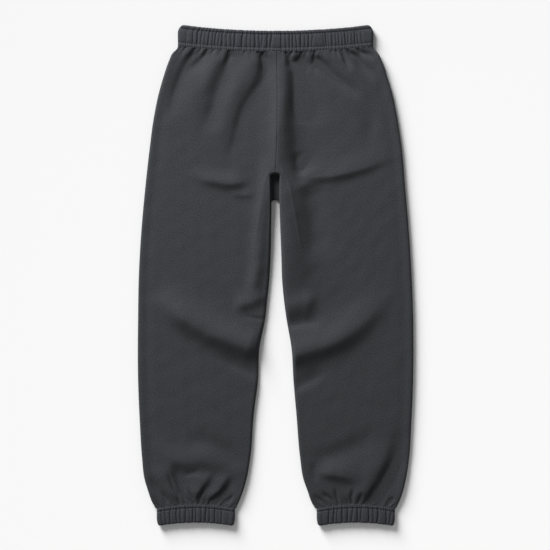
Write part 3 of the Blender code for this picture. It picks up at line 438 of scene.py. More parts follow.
# and over the cuffs' seams, from the middle of each ankle
anklePuckers = {
    "left": (
        (-72, -10, 14, 0.9, 2.6), (-60, -8, 14, 1.2, 2.6), (-47, -7, 12, 0.9, 2.4), (-32, -4, 14, 1.4, 2.4),
        (-22, -5, 12, 1.3, 2.4), (-13, -4, 12, 1.2, 2.4), (-3, -3, 14, 1.6, 2.4), (7, 1, 14, 1.8, 2.4),
        (18, 2, 14, 1.2, 2.2), (27, 3, 10, 1.0, 2.2), (33, 8, 14, 1.6, 2.4), (40, 9, 14, 1.6, 2.4),
        (51, 8, 12, 1.0, 2.4), (61, 12, 16, 1.0, 2.6), (72, 12, 12, 0.8, 2.4),
    ),
    "right": (
        (-72, -12, 14, 0.9, 2.6), (-57, -10, 14, 1.1, 2.6), (-45, -12, 16, 1.4, 2.4), (-34, -5, 14, 1.4, 2.4),
        (-24, -4, 10, 1.0, 2.2), (-16, -4, 12, 1.2, 2.4), (-8, 0, 14, 1.5, 2.4), (3, 5, 12, 1.5, 2.4),
        (17, 6, 14, 1.8, 2.4), (24, 5, 12, 1.2, 2.2), (31, 2, 10, 0.8, 2.2), (43, 7, 14, 1.3, 2.4),
        (51, 5, 10, 0.9, 2.2), (62, 12, 16, 1.4, 2.6), (73, 12, 12, 0.8, 2.4),
    ),
}

waist = {
    "half": 199.0, "freeHalf": 190.0,   # half its width at the seam and at the free edge
    "seamY": 466.5, "seamDip": 11.0,    # the seam at the sides, and its sag in the middle
    "freeY": 510.0, "freeDip": 12.0, "freeSpan": 191.0,
    "ease": 136.0,                      # length over which the panels lose that sag
    "wall": 4.3, "hollow": (1.7, 1.2),  # two layers with elastic; half the slot at its ends and middle
    "narrowing": 0.35,                  # share of the height over which the sides draw in
}
ankle = {
    "half": 79.5, "freeHalf": 76.5, "centre": {"left": -162.5, "right": 163.5},
    "seamY": -474.8, "seamRise": 8.2, "freeY": -510.0, "freeRise": 6.0, "freeSpan": 73.0,
    "ease": 75.0, "wall": 4.3, "hollow": (1.7, 1.2), "narrowing": 0.5,
}


# parabola that is rise high in the middle and level beyond halfSpan
def arch(x, halfSpan, rise):
    return rise * (1 - np.clip(x / halfSpan, -1, 1) ** 2)


# x of the body seam above the crotch point and of the inseam below it, with a rounded corner between
def innerEdge(side, y, notchY):
    seam, inseam = tableAt(centreSeam, y), tableAt(inseamEdge, y, legColumn[side])
    return seam + (inseam - seam) * quarterRound((notchY - y) / legs["notchRadius"])


# x of the side seam
def outerEdge(side, y):
    return tableAt(sideEdge, y, legColumn[side])


# y of the waistband's seam: a parabola that sags in the middle
def waistSeam(x):
    return waist["seamY"] - arch(x, waist["half"], waist["seamDip"])


# y of a cuff's seam: a parabola that rises in the middle
def cuffSeam(side, x):
    return ankle["seamY"] + arch(x - ankle["centre"][side], ankle["half"], ankle["seamRise"])


# x and y of a panel's points, and the level that each row has at its ends. Rows run across the leg;
# near the waistband they sag and near the cuff they arch like its seam.
def panelGrid(side, rows, shares, notchY):
    level = np.broadcast_to(rows[:, None], shares.shape)
    inner, outer = innerEdge(side, level, notchY), outerEdge(side, level)
    x = inner + shares * (outer - inner)
    waistShare = np.clip((level - waist["seamY"]) / waist["ease"] + 1, 0, 1)
    cuffShare = np.clip((ankle["seamY"] - level) / ankle["ease"] + 1, 0, 1)
    y = (level + waistShare * (waistSeam(x) - waist["seamY"])
         + cuffShare * (cuffSeam(side, x) - ankle["seamY"]))
    return x, y, level


# share of the way across for each grid point: by equal angles round the two rolled edges, and evenly
# spaced between them
def panelShares(side, rows, notchY, innerRoll, outerRoll, steps):
    width = np.abs(outerEdge(side, rows) - innerEdge(side, rows, notchY))
    innerPart = innerRoll[:, None] * (1 - np.cos(np.linspace(0, np.pi / 2, steps["inner"] + 1)))
    outerPart = width[:, None] - outerRoll * (1 - np.cos(np.linspace(np.pi / 2, 0, steps["outer"] + 1)))
    t = np.linspace(0, 1, steps["middle"] + 1)[None, 1:-1]
    middlePart = innerPart[:, -1:] * (1 - t) + outerPart[:, :1] * t
    return np.concatenate((innerPart, middlePart, outerPart), axis=1) / width[:, None]


# levels of the rows from high to low: their spacing follows a table of y and step, and the rounded
# crotch has rows of its own, by equal angles
def panelRows(notchY, steps, clear=0.8, samples=6001):
    y = np.linspace(waist["seamY"], ankle["seamY"], samples)
    density = 1 / np.interp(-y, [-at for at, _ in steps["rows"]], [step for _, step in steps["rows"]])
    count = np.concatenate(([0], np.cumsum(-np.diff(y) * (density[1:] + density[:-1]) / 2)))
    rows = np.interp(np.linspace(0, count[-1], int(count[-1]) + 1), count, y)
    corner = notchY - legs["notchRadius"] * (1 - np.cos(np.linspace(0, np.pi / 2, steps["notch"])))
    away = (rows > corner[0] + clear) | (rows < corner[-1] - clear)
    return np.sort(np.concatenate((rows[away], corner)))[::-1]


# sum of the folds: each one's height times a Gaussian across its path, eased in and out along it
def foldRelief(x, y):
    relief = np.zeros(x.shape)
    for height, left, right, lead, tail, path in folds:
        curve = smoothPath(path)
        reach = 3 * max(left, right)
        (lowX, lowY), (highX, highY) = curve.min(0) - reach, curve.max(0) + reach
        near = (x > lowX) & (x < highX) & (y > lowY) & (y < highY)
        distance, along = distanceToCurve(x[near], y[near], curve)
        if height < 0:      # the waistband draws its troughs together
            below = waistSeam(x[near]) - y[near]
            distance = distance / (legs["drawnIn"] + (1 - legs["drawnIn"]) * ease(below / legs["drawnOver"]))
        relief[near] += height * bell(distance, left, right) * ease(along / lead) * ease((1 - along) / tail)
    return relief


# distance to the free edge of the upper half's inner side: to a polyline round the crotch, and sideways
# to the inseam where the leg goes on below it
def notchDistance(side, x, y, depth=60.0, points=24, overlap=20.0):
    level = legs["frontNotchY"] - np.linspace(0, 1, points) ** 2 * depth
    corner = np.stack((innerEdge(side, level, legs["frontNotchY"]), level), axis=1)
    distance, _ = distanceToCurve(x, y, corner)
    sideways = np.abs(x - innerEdge(side, y, legs["frontNotchY"]))
    return np.where(y < level[-1] + overlap, sideways, np.abs(distance))


# gathers that run on from a seam: Gaussian troughs that drift sideways and widen, and fade by an
# exponential of their run to the power of 1.5
def puckerRelief(table, x, away, deepen=1.8, widen=0.7, straighten=0.15):
    at, drift, length, depth, width = np.array(table, float).T
    run = away[..., None] / length
    centre = at + drift * np.minimum(run, 2) * (1 - straighten * run)
    trough = bell(x[..., None] - centre, width * (1 + widen * run)) * np.exp(-run ** 1.5)
    return -(deepen * depth * trough).sum(-1)


# height of the upper half: folds on the loft, kept from sinking too low, led to the seams' own heights,
# and rolled over at the edges. The fine part is what the sewing and the cloth itself add.
def frontHeight(side, x, y, level, fine):
    fromSide = np.abs(outerEdge(side, level) - x)
    fromInner = notchDistance(side, x, level)
    fromWaist, fromCuff = waist["seamY"] - level, level - ankle["seamY"]
    puff, puffAt, puffWidth = legs["sidePuff"]
    valley, valleyAt, valleyWidth = legs["sideValley"]
    field = legs["loft"] + foldRelief(x, y)
    field += puff * bell(fromSide - puffAt, puffWidth) + valley * bell(fromSide - valleyAt, valleyWidth)
    if fine:
        field += wobble(x, y, *legs["unevenness"], legs["unevenSeed"][side])
    nearEdge = 1 - ease(np.minimum(fromSide, fromInner) / legs["edgeReach"])
    lowest = legs["lowest"] + (legs["edgeLowest"] - legs["lowest"]) * nearEdge
    over = field - lowest
    field = lowest + (over + np.sqrt(over * over + legs["softness"])) / 2
    fromSeam = np.minimum(fromWaist, fromCuff)
    atSeam = np.where(fromWaist < fromCuff, legs["waistHeight"], legs["cuffHeight"])
    over = field - atSeam
    start = np.where(over > 0, 0, legs["tuckStart"])
    reach = np.where(over > 0, legs["seamSwell"], legs["seamTuck"])
    field = atSeam + over * (start + (1 - start) * ease(fromSeam / reach))
    pucker = puckerRelief(waistPuckers, x, fromWaist)
    pucker += legs["anklePucker"] * puckerRelief(anklePuckers[side], x - ankle["centre"][side], fromCuff)
    field += np.maximum(pucker, legs["puckerFloor"] - field) * ease(fromSeam / legs["puckerStart"])
    if fine:
        fromCentre = np.abs(x - tableAt(centreSeam, level)) + farAway * (level < legs["frontNotchY"])
        lip = sewing["lip"][side]
        field += ridge(fromCentre - sewing["lipAt"], lip, sewing["lipWidth"])
        field += ridge(fromCentre, *sewing["bodySeam"])
        field -= ridge(fromCentre - sewing["topstitchAt"], lip, sewing["topstitchWidth"])
        ripple = np.sin(x * 1.37 + 1.1 * np.sin(x * 0.21))      # about 4.6 mm long, unevenly
        ripple *= np.exp(-fromSeam / sewing["rippleReach"])
        field += sewing["ripple"] * ripple + ridge(fromSeam, *sewing["bandSeam"])
    crisp = legs["crispInseam"] if fine else 1.0
    roll = (quarterRound(fromSide / legs["sideRoll"])
            * quarterRound(fromInner / (crisp * tableAt(inseamRoll, level))))
    return legs["rim"] + (field - legs["rim"]) * roll


# directions across a panel's wall: square to it, and level or straight along its edges
def wallNormals(side, points, rows, notchY, upwards):
    down, across = np.gradient(points, axis=0), np.gradient(points, axis=1)
    normal = np.cross(down, across)
    normal /= np.linalg.norm(normal, axis=2, keepdims=True)
    if (normal[len(rows) // 2, normal.shape[1] // 2, 2] > 0) != upwards:
        normal = -normal
    normal[rows >= notchY, 0, 0] = 0.0
    free = rows < notchY
    slope = np.gradient(points[:, 0, 0], points[:, 0, 1])[free]
    normal[free, 0] = np.stack((-np.ones(slope.shape), slope, 0 * slope), 1) * outwards[side]
    slope = np.gradient(points[:, -1, 0], points[:, -1, 1])
    normal[:, -1] = np.stack((np.ones(slope.shape), -slope, 0 * slope), 1) * outwards[side]
    normal[[0, -1], :, 1] = 0.0
    return normal / np.linalg.norm(normal, axis=2, keepdims=True)


# both skins are drawn back from the body seam and from the seams of the elastic tubes
def leaveGaps(side, rows, notchY, skins):
    for skin in skins:
        skin[rows >= notchY, 0, 0] += outwards[side] * sewing["gap"]
        skin[0, :, 1] = waistSeam(skin[0, :, 0]) - sewing["gap"]
        skin[-1, :, 1] = cuffSeam(side, skin[-1, :, 0]) + sewing["gap"]


# the side seam draws the rolled edge in where the two halves meet, as a Gaussian of the height
def drawSideIn(side, outer, shares):
    inwards = ridge(outer[..., 2] - legs["rim"], *sewing["sideSeam"]) * (shares > 0.5)
    outer[..., 0] -= outwards[side] * inwards


# a panel's two skins and the strip that closes them all round
def addPanel(name, outer, inner, middle, material):
    rows, columns = outer.shape[:2]
    points = np.concatenate((outer.reshape(-1, 3), inner.reshape(-1, 3)))
    uv = clothMap(outer, middle).reshape(-1, 2)
    faces = np.concatenate((gridFaces(rows, columns), gridFaces(rows, columns, start=rows * columns)[:, ::-1],
                            borderFaces(rows, columns)[:, ::-1]))
    return addPiece(name, points, faces, np.concatenate((uv, uv)), material)


# columns over the rolled edges and between them, rows round the crotch, and the rows' spacing: y, step
frontSteps = {
    "inner": 15, "outer": 11, "middle": 112, "notch": 12,
    "rows": ((470, 1.3), (450, 1.7), (420, 2.6), (350, 3.4), (230, 3.2), (212, 1.8), (190, 1.8), (160, 3.0),
             (0, 3.2), (-60, 2.6), (-210, 2.6), (-260, 3.6), (-370, 3.2), (-420, 2.2), (-455, 1.6),
             (-475, 1.2)),
}
backSteps = {
    "inner": 6, "outer": 6, "middle": 60, "notch": 8,
    "rows": ((470, 1.6), (440, 3.0), (360, 6.0), (200, 4.0), (160, 4.0), (0, 8.0), (-400, 6.0), (-440, 3.0),
             (-475, 1.6)),
}


# the upper half of one leg and hip, a wall that follows every fold and is rolled over at its edges
def frontPanel(side):
    notchY = legs["frontNotchY"]
    rows = panelRows(notchY, frontSteps)
    shares = panelShares(side, rows, notchY, tableAt(inseamRoll, rows), legs["sideRoll"], frontSteps)
    x, y, level = panelGrid(side, rows, shares, notchY)
    outer = np.stack((x, y, frontHeight(side, x, y, level, True)), axis=2)
    plain = np.stack((x, y, frontHeight(side, x, y, level, False)), axis=2)
    inner = plain - (legs["wall"] + sewing["detailRoom"]) * wallNormals(side, plain, rows, notchY, True)
    drawSideIn(side, outer, shares)
    leaveGaps(side, rows, notchY, (outer, inner))
    return addPanel("fleeceFront" + side.title(), outer, inner, shares.shape[1] // 2, fleece)


# the lower half: flat where it rests, with a turned-up rim, seams drawn in and faint gathers
def backPanel(side):
    notchY, roll = legs["backNotchY"], legs["backRoll"]
    rows = panelRows(notchY, backSteps)
    shares = panelShares(side, rows, notchY, np.full(len(rows), roll), roll, backSteps)
    x, y, level = panelGrid(side, rows, shares, notchY)
    fromSide = np.abs(outerEdge(side, level) - x)
    sideways = np.abs(x - innerEdge(side, level, notchY))
    fromInner = np.where(level >= notchY, roll, sideways)
    fromWaist, fromCuff = waist["seamY"] - level, level - ankle["seamY"]
    rim = legs["rim"]
    z = rim * (1 - quarterRound(fromSide / roll) * quarterRound(fromInner / roll))
    plain = np.stack((x, y, z), axis=2)
    inner = plain - legs["wall"] * wallNormals(side, plain, rows, notchY, False)
    height, reach, low, high, fade = legs["crotchLump"]
    sides = ease((reach + fade - np.abs(inner[..., 0])) / fade)
    ends = ease((high + fade - inner[..., 1]) / fade) * ease((inner[..., 1] - low + fade) / fade)
    inner[..., 2] = np.maximum(inner[..., 2], legs["wall"] + height * sides * ends)
    fromCentre = np.where(level >= notchY, sideways, farAway)
    recess = ridge(fromCentre, *sewing["backBodySeam"])
    recess += ridge(np.minimum(fromWaist, fromCuff), *sewing["backBandSeam"])
    recess -= sewing["backPucker"] * puckerRelief(waistPuckers, -x, fromWaist)
    recess -= sewing["backPucker"] * puckerRelief(anklePuckers[side], ankle["centre"][side] - x, fromCuff)
    z = z + np.minimum(recess, sewing["backDeepest"]) * (1 - z / rim)
    outer = np.stack((x, y, z), axis=2)
    drawSideIn(side, outer, shares)
    leaveGaps(side, rows, notchY, (outer, inner))
    return addPanel("fleeceBack" + side.title(), outer, inner, shares.shape[1] // 2, fleece)


fronts = {side: frontPanel(side) for side in ("left", "right")}
backs = {side: backPanel(side) for side in ("left", "right")}
print("legs made,", [len(p.data.polygons) for p in (*fronts.values(), *backs.values())])

# section of a tube from its free edge to its seam: distance, lift of the top, strength of the gathers
waistSection = (
    (0.0, 0.2, 0.3), (1.5, 0.7, 0.4), (3.8, 1.2, 0.5), (6.2, 0.7, 0.5), (7.8, -0.3, 0.45), (9.4, 0.6, 0.8),
    (12.0, 1.1, 1.0), (21.0, 1.5, 1.0), (30.0, 1.1, 1.0), (32.7, 0.6, 0.85), (34.3, -0.3, 0.5),
    (35.9, 0.6, 0.5), (37.8, 0.9, 0.45), (39.6, 0.7, 0.35), (41.0, 0.3, 0.2),
)
cuffSection = (
    (0.0, 0.2, 0.6), (1.5, 0.5, 0.8), (5.0, 0.9, 1.0), (14.0, 1.3, 1.0), (25.0, 1.0, 1.0), (27.9, 0.6, 0.8),
    (29.5, -0.4, 0.5), (31.1, 0.6, 0.45), (33.2, 0.9, 0.45), (35.2, 0.6, 0.35), (36.5, 0.2, 0.2),
)

# section, stitch lines, the join of its two ends, and the spacing of its points above and below
cuffShape = {"section": cuffSection, "stitchLines": (29.5,), "join": None, "pitch": 0.75, "underPitch": 1.6}
bands = {
    "waist": {"section": waistSection, "stitchLines": (7.8, 34.3), "join": 11.2, "pitch": 0.8,
              "underPitch": 1.7, "seed": 11},
    "left": {**cuffShape, "seed": 12},
    "right": {**cuffShape, "seed": 13},
}

# what the three have alike
elastic = {
    "lipDepth": 3.8, "lipEnd": 4.6,             # the free edge is rounded over this distance
    "lipSteps": 11, "liningSteps": 7,
    "sway": 0.5, "swayLength": 7.0,             # the gathers wander sideways
    "swell": 0.35,                              # the cloth stands up between them
    "hollow": 0.28, "hollowWidth": 4.5,         # wide hollow round each, as a share of its depth
    "sewnUnder": 0.5, "sewnSlope": 2.4,         # where they are weaker than this, the sewing ripples
    "ripple": 0.3,
    "join": (1.5, 1.1),                         # depth and width of the groove at the join
    "stitchWidth": 1.3, "seamWidth": 1.5,       # grooves of the underside
    "underGroove": 0.8, "underGathers": 0.45, "underDeepest": 1.2,
    "scallop": 0.6, "scallopReach": 3.0,        # the gathers draw the free edge in
}

# where the gathers lie, from the band's middle: x, lean over the band's height, depth, width
gathers = {
    "waist": (
        (-181, 3, 0.6, 2.6), (-167.5, 3, 1.3, 1.7), (-158.5, 4, 1.8, 1.7), (-150.5, 4, 1.2, 1.6),
        (-143, 2, 0.8, 1.8), (-135.7, 3, 1.5, 1.7), (-127.5, 1, 1.0, 1.6), (-121.8, 2, 1.6, 1.7),
        (-115, 4, 0.9, 1.7), (-108.3, 2, 1.8, 1.7), (-99.1, 1, 1.0, 1.7), (-90, 1, 1.0, 1.8),
        (-82.8, 3, 1.7, 1.6), (-67.5, 3, 1.9, 1.7), (-57.5, 0, 1.1, 1.7), (-50, 1, 0.8, 1.7),
        (-41.4, 0, 1.8, 1.6), (-32.8, -2, 1.4, 1.6), (-27.5, 3, 1.2, 1.5), (-16.5, 3, 1.9, 1.5),
        (-8.8, 4, 1.7, 1.6), (14, -2, 0.9, 1.8), (21, -2, 1.2, 1.7), (29, 1, 1.5, 1.6), (35.5, 0, 1.9, 1.5),
        (42.6, -2, 1.3, 1.6), (51.8, 0, 2.0, 1.5), (60, -2, 1.1, 1.7), (67.5, -1, 1.7, 1.6),
        (75.3, 3, 0.9, 1.8), (98, -3, 0.7, 1.8), (103, -3, 1.9, 1.6), (107.9, -4, 1.0, 1.6),
        (115.3, -3, 1.6, 1.6), (123.4, -1, 1.0, 1.7), (129.5, -4, 1.3, 1.6), (135.7, -3, 0.9, 1.7),
        (142.5, -4, 1.8, 1.6), (147.7, -2, 1.2, 1.5), (155.9, -4, 1.0, 1.6), (161.5, -4, 1.8, 1.5),
        (167.1, -5, 1.5, 1.5), (175.5, -3, 0.8, 1.8),
    ),
    "left": (
        (-68.6, 2, 1.2, 1.9), (-61.6, 2, 1.4, 1.8), (-51.8, -2, 1.6, 1.7), (-45, 2, 0.7, 1.7),
        (-38.8, 0, 1.9, 1.6), (-30.7, -1, 1.4, 1.7), (-20.3, 0, 1.6, 1.7), (-12.5, 1, 0.7, 1.7),
        (-5.5, -1, 1.7, 1.6), (0.4, 1, 1.5, 1.5), (11.5, 1, 1.5, 1.7), (20.9, -1, 1.9, 1.6),
        (28.5, 0, 1.6, 1.7), (39.8, 0, 1.6, 1.7), (46.5, 2, 0.7, 1.7), (53.7, 1, 1.2, 1.8), (67, 0, 0.5, 2.4),
    ),
    "right": (
        (-68, 0, 0.5, 2.4), (-55, -3, 1.7, 1.7), (-45, -3, 1.7, 1.6), (-37.5, -3, 1.2, 1.7),
        (-27.5, -1, 1.9, 1.6), (-17, -1, 1.9, 1.6), (-7, -4, 1.3, 1.6), (3.3, -1, 2.0, 1.5),
        (10.6, -3, 1.5, 1.6), (26.5, 0, 1.9, 1.6), (36, 1, 1.4, 1.6), (45, -1, 2.0, 1.5), (62.5, 0, 1.6, 1.7),
        (71, -4, 1.2, 1.7),
    ),
}


# Once round a flattened tube: x from its centre and the turn (0 above, 180 below). Evenly spaced
# above and below, and by equal angles round the two ends.
def bandStations(size, pitch, underPitch, endSteps=12):
    reach = size["half"] - size["wall"] - size["hollow"][0]
    top = np.linspace(-reach, reach, int(2 * reach / pitch) + 1)
    under = np.linspace(reach, -reach, int(2 * reach / underPitch) + 1)
    turn = np.linspace(0, np.pi, endSteps + 2)[1:-1]
    x = np.concatenate((top, np.full(endSteps, reach), under, np.full(endSteps, -reach)))
    angle = np.concatenate((0 * top, turn, 0 * under + np.pi, turn[::-1]))
    return x, angle


# half the width of a band at a share of the way from its free edge to its seam: a parabola, then level
def halfAt(size, share):
    drawnIn = (size["half"] - size["freeHalf"]) * (1 - np.minimum(share / size["narrowing"], 1)) ** 2
    return size["half"] - drawnIn


# y of the waistband's points: straight on from the sagging free edge to the seam
def waistAcross(x, share):
    free = waist["freeY"] - arch(x, waist["freeSpan"], waist["freeDip"])
    return free + share * (waistSeam(x) + sewing["gap"] - free)


# the same for a cuff, whose edge and seam are arched
def cuffAcross(side):
    def across(x, share):
        free = ankle["freeY"] + arch(x, ankle["freeSpan"], ankle["freeRise"])
        return free + share * (cuffSeam(side, x + ankle["centre"][side]) - sewing["gap"] - free)
    return across


# Surface of a band at distance d from its free edge and thickness t of its wall: a flattened ring whose
# top is lifted by its section's table and cut by Gaussian gathers, with small ripples at the sewing.
def bandSurface(key, size, across, x0, angle, d, t):
    shape = bands[key]
    section = shape["section"]
    depth = section[-1][0]
    share = d / depth
    endHalf, middleHalf = size["hollow"]
    middleZ = size["wall"] + middleHalf
    outer = t / size["wall"]
    upper = np.clip(np.cos(angle), 0, 1) * outer
    under = np.clip(-np.cos(angle), 0, 1) * outer
    at, lean, deep, width = np.array(gathers[key], float).T
    dice = np.random.default_rng(shape["seed"])
    phase = dice.uniform(0, 2 * np.pi, len(at))
    line = at + lean * (0.5 - share[..., None])
    line = line + elastic["sway"] * np.sin(d[..., None] / elastic["swayLength"] + phase)
    offset = x0[..., None] - line
    furrow = (deep * bell(offset, width)).sum(-1)
    furrow += (elastic["hollow"] * deep * bell(offset, elastic["hollowWidth"])).sum(-1)
    weight = tableAt(section, d, 2)
    sewn = 1 - np.clip((weight - elastic["sewnUnder"]) * elastic["sewnSlope"], 0, 1)
    ripple = np.sin(x0 * 1.42 + np.sin(x0 * 0.31)) + 0.6 * np.sin(x0 * 1.05 + 1.3 + np.sin(x0 * 0.17))
    lift = tableAt(section, d, 1)
    thickness = t + upper * (lift + elastic["swell"] - furrow * weight + elastic["ripple"] * (ripple * sewn))
    if shape["join"] is not None:       # the band's two ends are sewn together here
        thickness = thickness - upper * ridge(x0 - shape["join"], *elastic["join"])
    groove = sum(bell(d - sewnAt, elastic["stitchWidth"]) for sewnAt in shape["stitchLines"])
    groove = groove + bell(d - depth, elastic["seamWidth"])
    mirrored = (deep * bell(-x0[..., None] - line, width)).sum(-1)
    sunk = elastic["underGroove"] * groove + elastic["underGathers"] * mirrored * weight
    thickness = thickness - under * np.minimum(sunk, elastic["underDeepest"])
    end = np.sign(x0) * np.sin(angle)
    x = x0 * halfAt(size, share) / size["half"] + end * (endHalf + thickness)
    z = middleZ + (middleHalf + thickness) * np.cos(angle)
    scallop = elastic["scallop"] * furrow * np.exp(-d / elastic["scallopReach"]) * (upper + 0.5 * under)
    y = across(x, share) - np.sign(size["freeY"]) * scallop
    return np.stack(np.broadcast_arrays(x, y, np.maximum(z, 0.0)), axis=-1)


# distance and wall thickness round a band's section: up the outside, round the lip, down the lining
def bandSection(size, depth):
    lip = np.radians(np.linspace(90, 270, elastic["lipSteps"]))
    high = size["wall"] / 2
    outside = np.linspace(depth, elastic["lipEnd"], int(depth) + 1)
    lining = np.linspace(elastic["lipEnd"], depth, elastic["liningSteps"])
    d = np.concatenate((outside, elastic["lipDepth"] * (1 + np.cos(lip)), lining))
    t = np.concatenate((0 * outside + size["wall"], high + high * np.sin(lip), 0 * lining))
    return d, t


# a band as a closed torus of points, once round the tube and once round its section
def addBand(name, key, size, across, material, shift=0.0):
    shape = bands[key]
    x0, angle = bandStations(size, shape["pitch"], shape["underPitch"])
    d, t = bandSection(size, shape["section"][-1][0])
    grid = np.broadcast_arrays(x0[:, None], angle[:, None], d[None, :], t[None, :])
    points = bandSurface(key, size, across, *grid)
    around = np.cumsum(np.linalg.norm(np.diff(points[:, 0], axis=0, prepend=points[:1, 0]), axis=1))
    walked = np.cumsum(np.hypot(np.diff(d, prepend=d[0]), np.diff(t, prepend=t[0])))
    uv = np.stack(np.broadcast_arrays(around[:, None], -walked[None, :]), axis=2)
    points[..., 0] += shift
    faces = gridFaces(*points.shape[:2], closedRows=True, closedColumns=True)
    return addPiece(name, points.reshape(-1, 3), faces, uv.reshape(-1, 2), material)


stitch = {
    "pitch": 3.3, "length": 2.5, "start": 0.1,      # start as a share of the pitch
    "radius": 0.34, "rise": 0.3, "sunk": 0.35,      # height over the cloth, and depth of its ends in it
    "rings": 5, "sides": 6, "sideWidth": 0.35,
    "walk": 0.4, "endSteps": 24,                    # spacing of the points by which its line is found
    "beside": 0.5, "ahead": 0.6,                    # distances at which its two directions are read
    "lowest": 0.02,                                 # height over the floor
}


# Stitches round a band at distance d: short threads that rise from the cloth and dip back in, each a
# six-sided tube swept along a half sine over the band's own surface.
def addStitches(name, key, size, across, shift=0.0):
    x0, angle = bandStations(size, stitch["walk"], stitch["walk"], stitch["endSteps"])
    share = np.linspace(0, 1, stitch["rings"])
    chunks = []
    for d in bands[key]["stitchLines"]:
        loops = (bandSurface(key, size, across, x0, angle, 0 * x0 + at, 0 * x0 + size["wall"])
                 for at in (d, d + stitch["beside"]))
        line, beside = (np.concatenate((loop, loop[:1])) for loop in loops)
        walked = np.concatenate(([0], np.cumsum(np.linalg.norm(np.diff(line, axis=0), axis=1))))
        count = int(walked[-1] / stitch["pitch"])
        at = (np.arange(count)[:, None] + stitch["start"]) * walked[-1] / count + share * stitch["length"]
        centre, near, ahead = (np.stack([np.interp(where, walked, loop[:, k]) for k in range(3)], axis=-1)
                               for where, loop in ((at, line), (at, beside), (at + stitch["ahead"], line)))
        along = ahead - centre
        along /= np.linalg.norm(along, axis=-1, keepdims=True)
        sideways = near - centre
        up = np.cross(along, sideways)
        up /= np.linalg.norm(up, axis=-1, keepdims=True)
        middle = np.array([0, 0, size["wall"] + size["hollow"][1]])
        outside = np.sign((up * (centre - middle))[..., 2:])
        up = up * np.where(outside == 0, 1, outside)
        sideways = np.cross(along, up)
        hop = (stitch["rise"] + stitch["sunk"]) * np.sin(np.pi * share) - stitch["sunk"]
        centre = centre + up * hop[:, None]
        turn = np.linspace(0, 2 * np.pi, stitch["sides"], endpoint=False)
        ring = (centre[:, :, None] + stitch["radius"] * (np.cos(turn)[:, None] * sideways[:, :, None]
                                                         + np.sin(turn)[:, None] * up[:, :, None]))
        chunks.append(ring)
    rings = np.concatenate(chunks)
    rings[..., 0] += shift
    rings[..., 2] = np.maximum(rings[..., 2], stitch["lowest"])
    count, perStitch = len(rings), stitch["rings"] * stitch["sides"]
    tube = gridFaces(stitch["rings"], stitch["sides"], closedColumns=True)
    caps = np.array([[0, 1, 2, 3], [0, 3, 4, 5]])
    tube = np.concatenate((tube, caps[:, ::-1], caps + perStitch - stitch["sides"]))
    faces = (tube[None] + (np.arange(count) * perStitch)[:, None, None]).reshape(-1, 4)
    grid = np.broadcast_arrays(np.arange(stitch["sides"])[None, None, :] * stitch["sideWidth"],
                               np.linspace(0, stitch["length"], stitch["rings"])[None, :, None],
                               np.zeros((count, 1, 1)))
    uv = np.stack(grid[:2], axis=-1).reshape(-1, 2)
    return addPiece(name, rings.reshape(-1, 3), faces, uv, thread, 60)


waistBand = addBand("elasticWaist", "waist", waist, waistAcross, bandFleece)
waistStitches = addStitches("waistStitches", "waist", waist, waistAcross)
cuffs, cuffStitches = {}, {}
for side in ("left", "right"):
    centre = ankle["centre"][side]
    cuffs[side] = addBand("elasticCuff" + side.title(), side, ankle, cuffAcross(side), cuffFleece, centre)
    cuffStitches[side] = addStitches("cuffStitches" + side.title(), side, ankle, cuffAcross(side), centre)
print("bands made,", [len(p.data.polygons) for p in (waistBand, waistStitches, *cuffs.values())])

# what each piece rides on and replaces; the cut figure given with each is not used
for side in ("left", "right"):
    for piece, node, cut in ((fronts[side], "front_" + side, 0.24), (backs[side], "back_" + side, 0.235)):
        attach(piece, "root")
        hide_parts(node)
    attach(cuffs[side], "root")
    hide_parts("cuff_" + side)
    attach(cuffStitches[side], "root")
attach(waistBand, "root")
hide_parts("waistband")
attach(waistStitches, "root")

studio = {
    "floorSize": 14.0, "floorLight": 0.945,     # the paper's side, and how bright it looks all over
    "floorZ": -0.0004,
    "keyAt": (-2.01, 3.08, 1.70), "keySize": 2.3, "keyPower": 374.0,
    "keySpread": 0.66,      # share of its squared radius that its width adds to a squared distance
    "sky": 0.30,
    "cameraAt": (-0.0012, 0.0005, 2.653), "lens": 85.0,
}


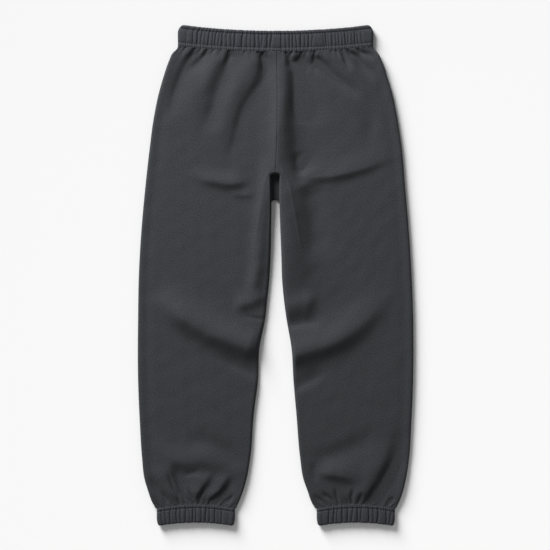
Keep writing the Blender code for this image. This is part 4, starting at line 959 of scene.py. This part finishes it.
# Matt background paper with the faint tooth of uncoated stock. It is toned darker towards the lamp, by
# the lamp's own light there, so that it looks evenly pale: power x height over the cube of a distance
# that the lamp's own width lengthens.
def backgroundPaper():
    material, tree, shader = newMaterial("mattBackgroundPaper")
    place = addNode(tree, "ShaderNodeTexCoord").outputs["Object"]
    tooth = addNode(tree, "ShaderNodeTexNoise", Vector=place, Scale=1 / 0.004, Detail=2.0)
    bump = addNode(tree, "ShaderNodeBump", Height=tooth.outputs["Fac"], Strength=0.03, Distance=0.0003)
    away = addNode(tree, "ShaderNodeVectorMath", {"operation": "DISTANCE"}, i0=place, i1=studio["keyAt"])
    square = addNode(tree, "ShaderNodeMath", {"operation": "MULTIPLY"}, i0=away.outputs["Value"],
                     i1=away.outputs["Value"])
    wider = addNode(tree, "ShaderNodeMath", {"operation": "ADD"}, i0=square.outputs[0],
                    i1=studio["keySpread"] * (studio["keySize"] / 2) ** 2)
    cubed = addNode(tree, "ShaderNodeMath", {"operation": "POWER"}, i0=wider.outputs[0], i1=1.5)
    lamp = addNode(tree, "ShaderNodeMath", {"operation": "DIVIDE"},
                   i0=studio["keyPower"] * studio["keyAt"][2] / np.pi ** 2, i1=cubed.outputs[0])
    light = addNode(tree, "ShaderNodeMath", {"operation": "ADD"}, i0=lamp.outputs[0], i1=studio["sky"])
    tone = addNode(tree, "ShaderNodeMath", {"operation": "DIVIDE"}, i0=studio["floorLight"],
                   i1=light.outputs[0])
    feed(tree, shader, Base_Color=tone.outputs[0], Normal=bump.outputs[0], Roughness=0.95,
         Specular_IOR_Level=0.1)
    return material


half = studio["floorSize"] / 2
corners = [(x * half, y * half, studio["floorZ"]) for x, y in ((-1, -1), (1, -1), (1, 1), (-1, 1))]
floorMesh = bpy.data.meshes.new("floor")
floorMesh.from_pydata(corners, [], [(0, 1, 2, 3)])
floorMesh.materials.append(backgroundPaper())
floor = bpy.data.objects.new("floor", floorMesh)
bpy.context.scene.collection.objects.link(floor)


# turns a lamp to look at a point
def lookAt(item, target):
    direction = Vector(target) - item.location
    item.rotation_euler = direction.to_track_quat("-Z", "Y").to_euler()


lamp = bpy.data.lights.new("softKey", "AREA")
lamp.shape = "DISK"
lamp.size = studio["keySize"]
lamp.energy = studio["keyPower"]
lampObject = bpy.data.objects.new("softKey", lamp)
lampObject.location = studio["keyAt"]
lookAt(lampObject, (0.0, 0.0, 0.0))
bpy.context.scene.collection.objects.link(lampObject)

world = bpy.data.worlds.new("studioSky")
world.use_nodes = True
feed(world.node_tree, world.node_tree.nodes["Background"], Color=(1.0, 1.0, 1.0, 1.0), Strength=studio["sky"])
bpy.context.scene.world = world
bpy.context.scene.view_settings.view_transform = "Standard"

camera = bpy.data.cameras.new("overhead")
camera.lens = studio["lens"]
camera.clip_end = 50.0
cameraObject = bpy.data.objects.new("overhead", camera)
cameraObject.location = studio["cameraAt"]
bpy.context.scene.collection.objects.link(cameraObject)
bpy.context.scene.camera = cameraObject
print("studio made")
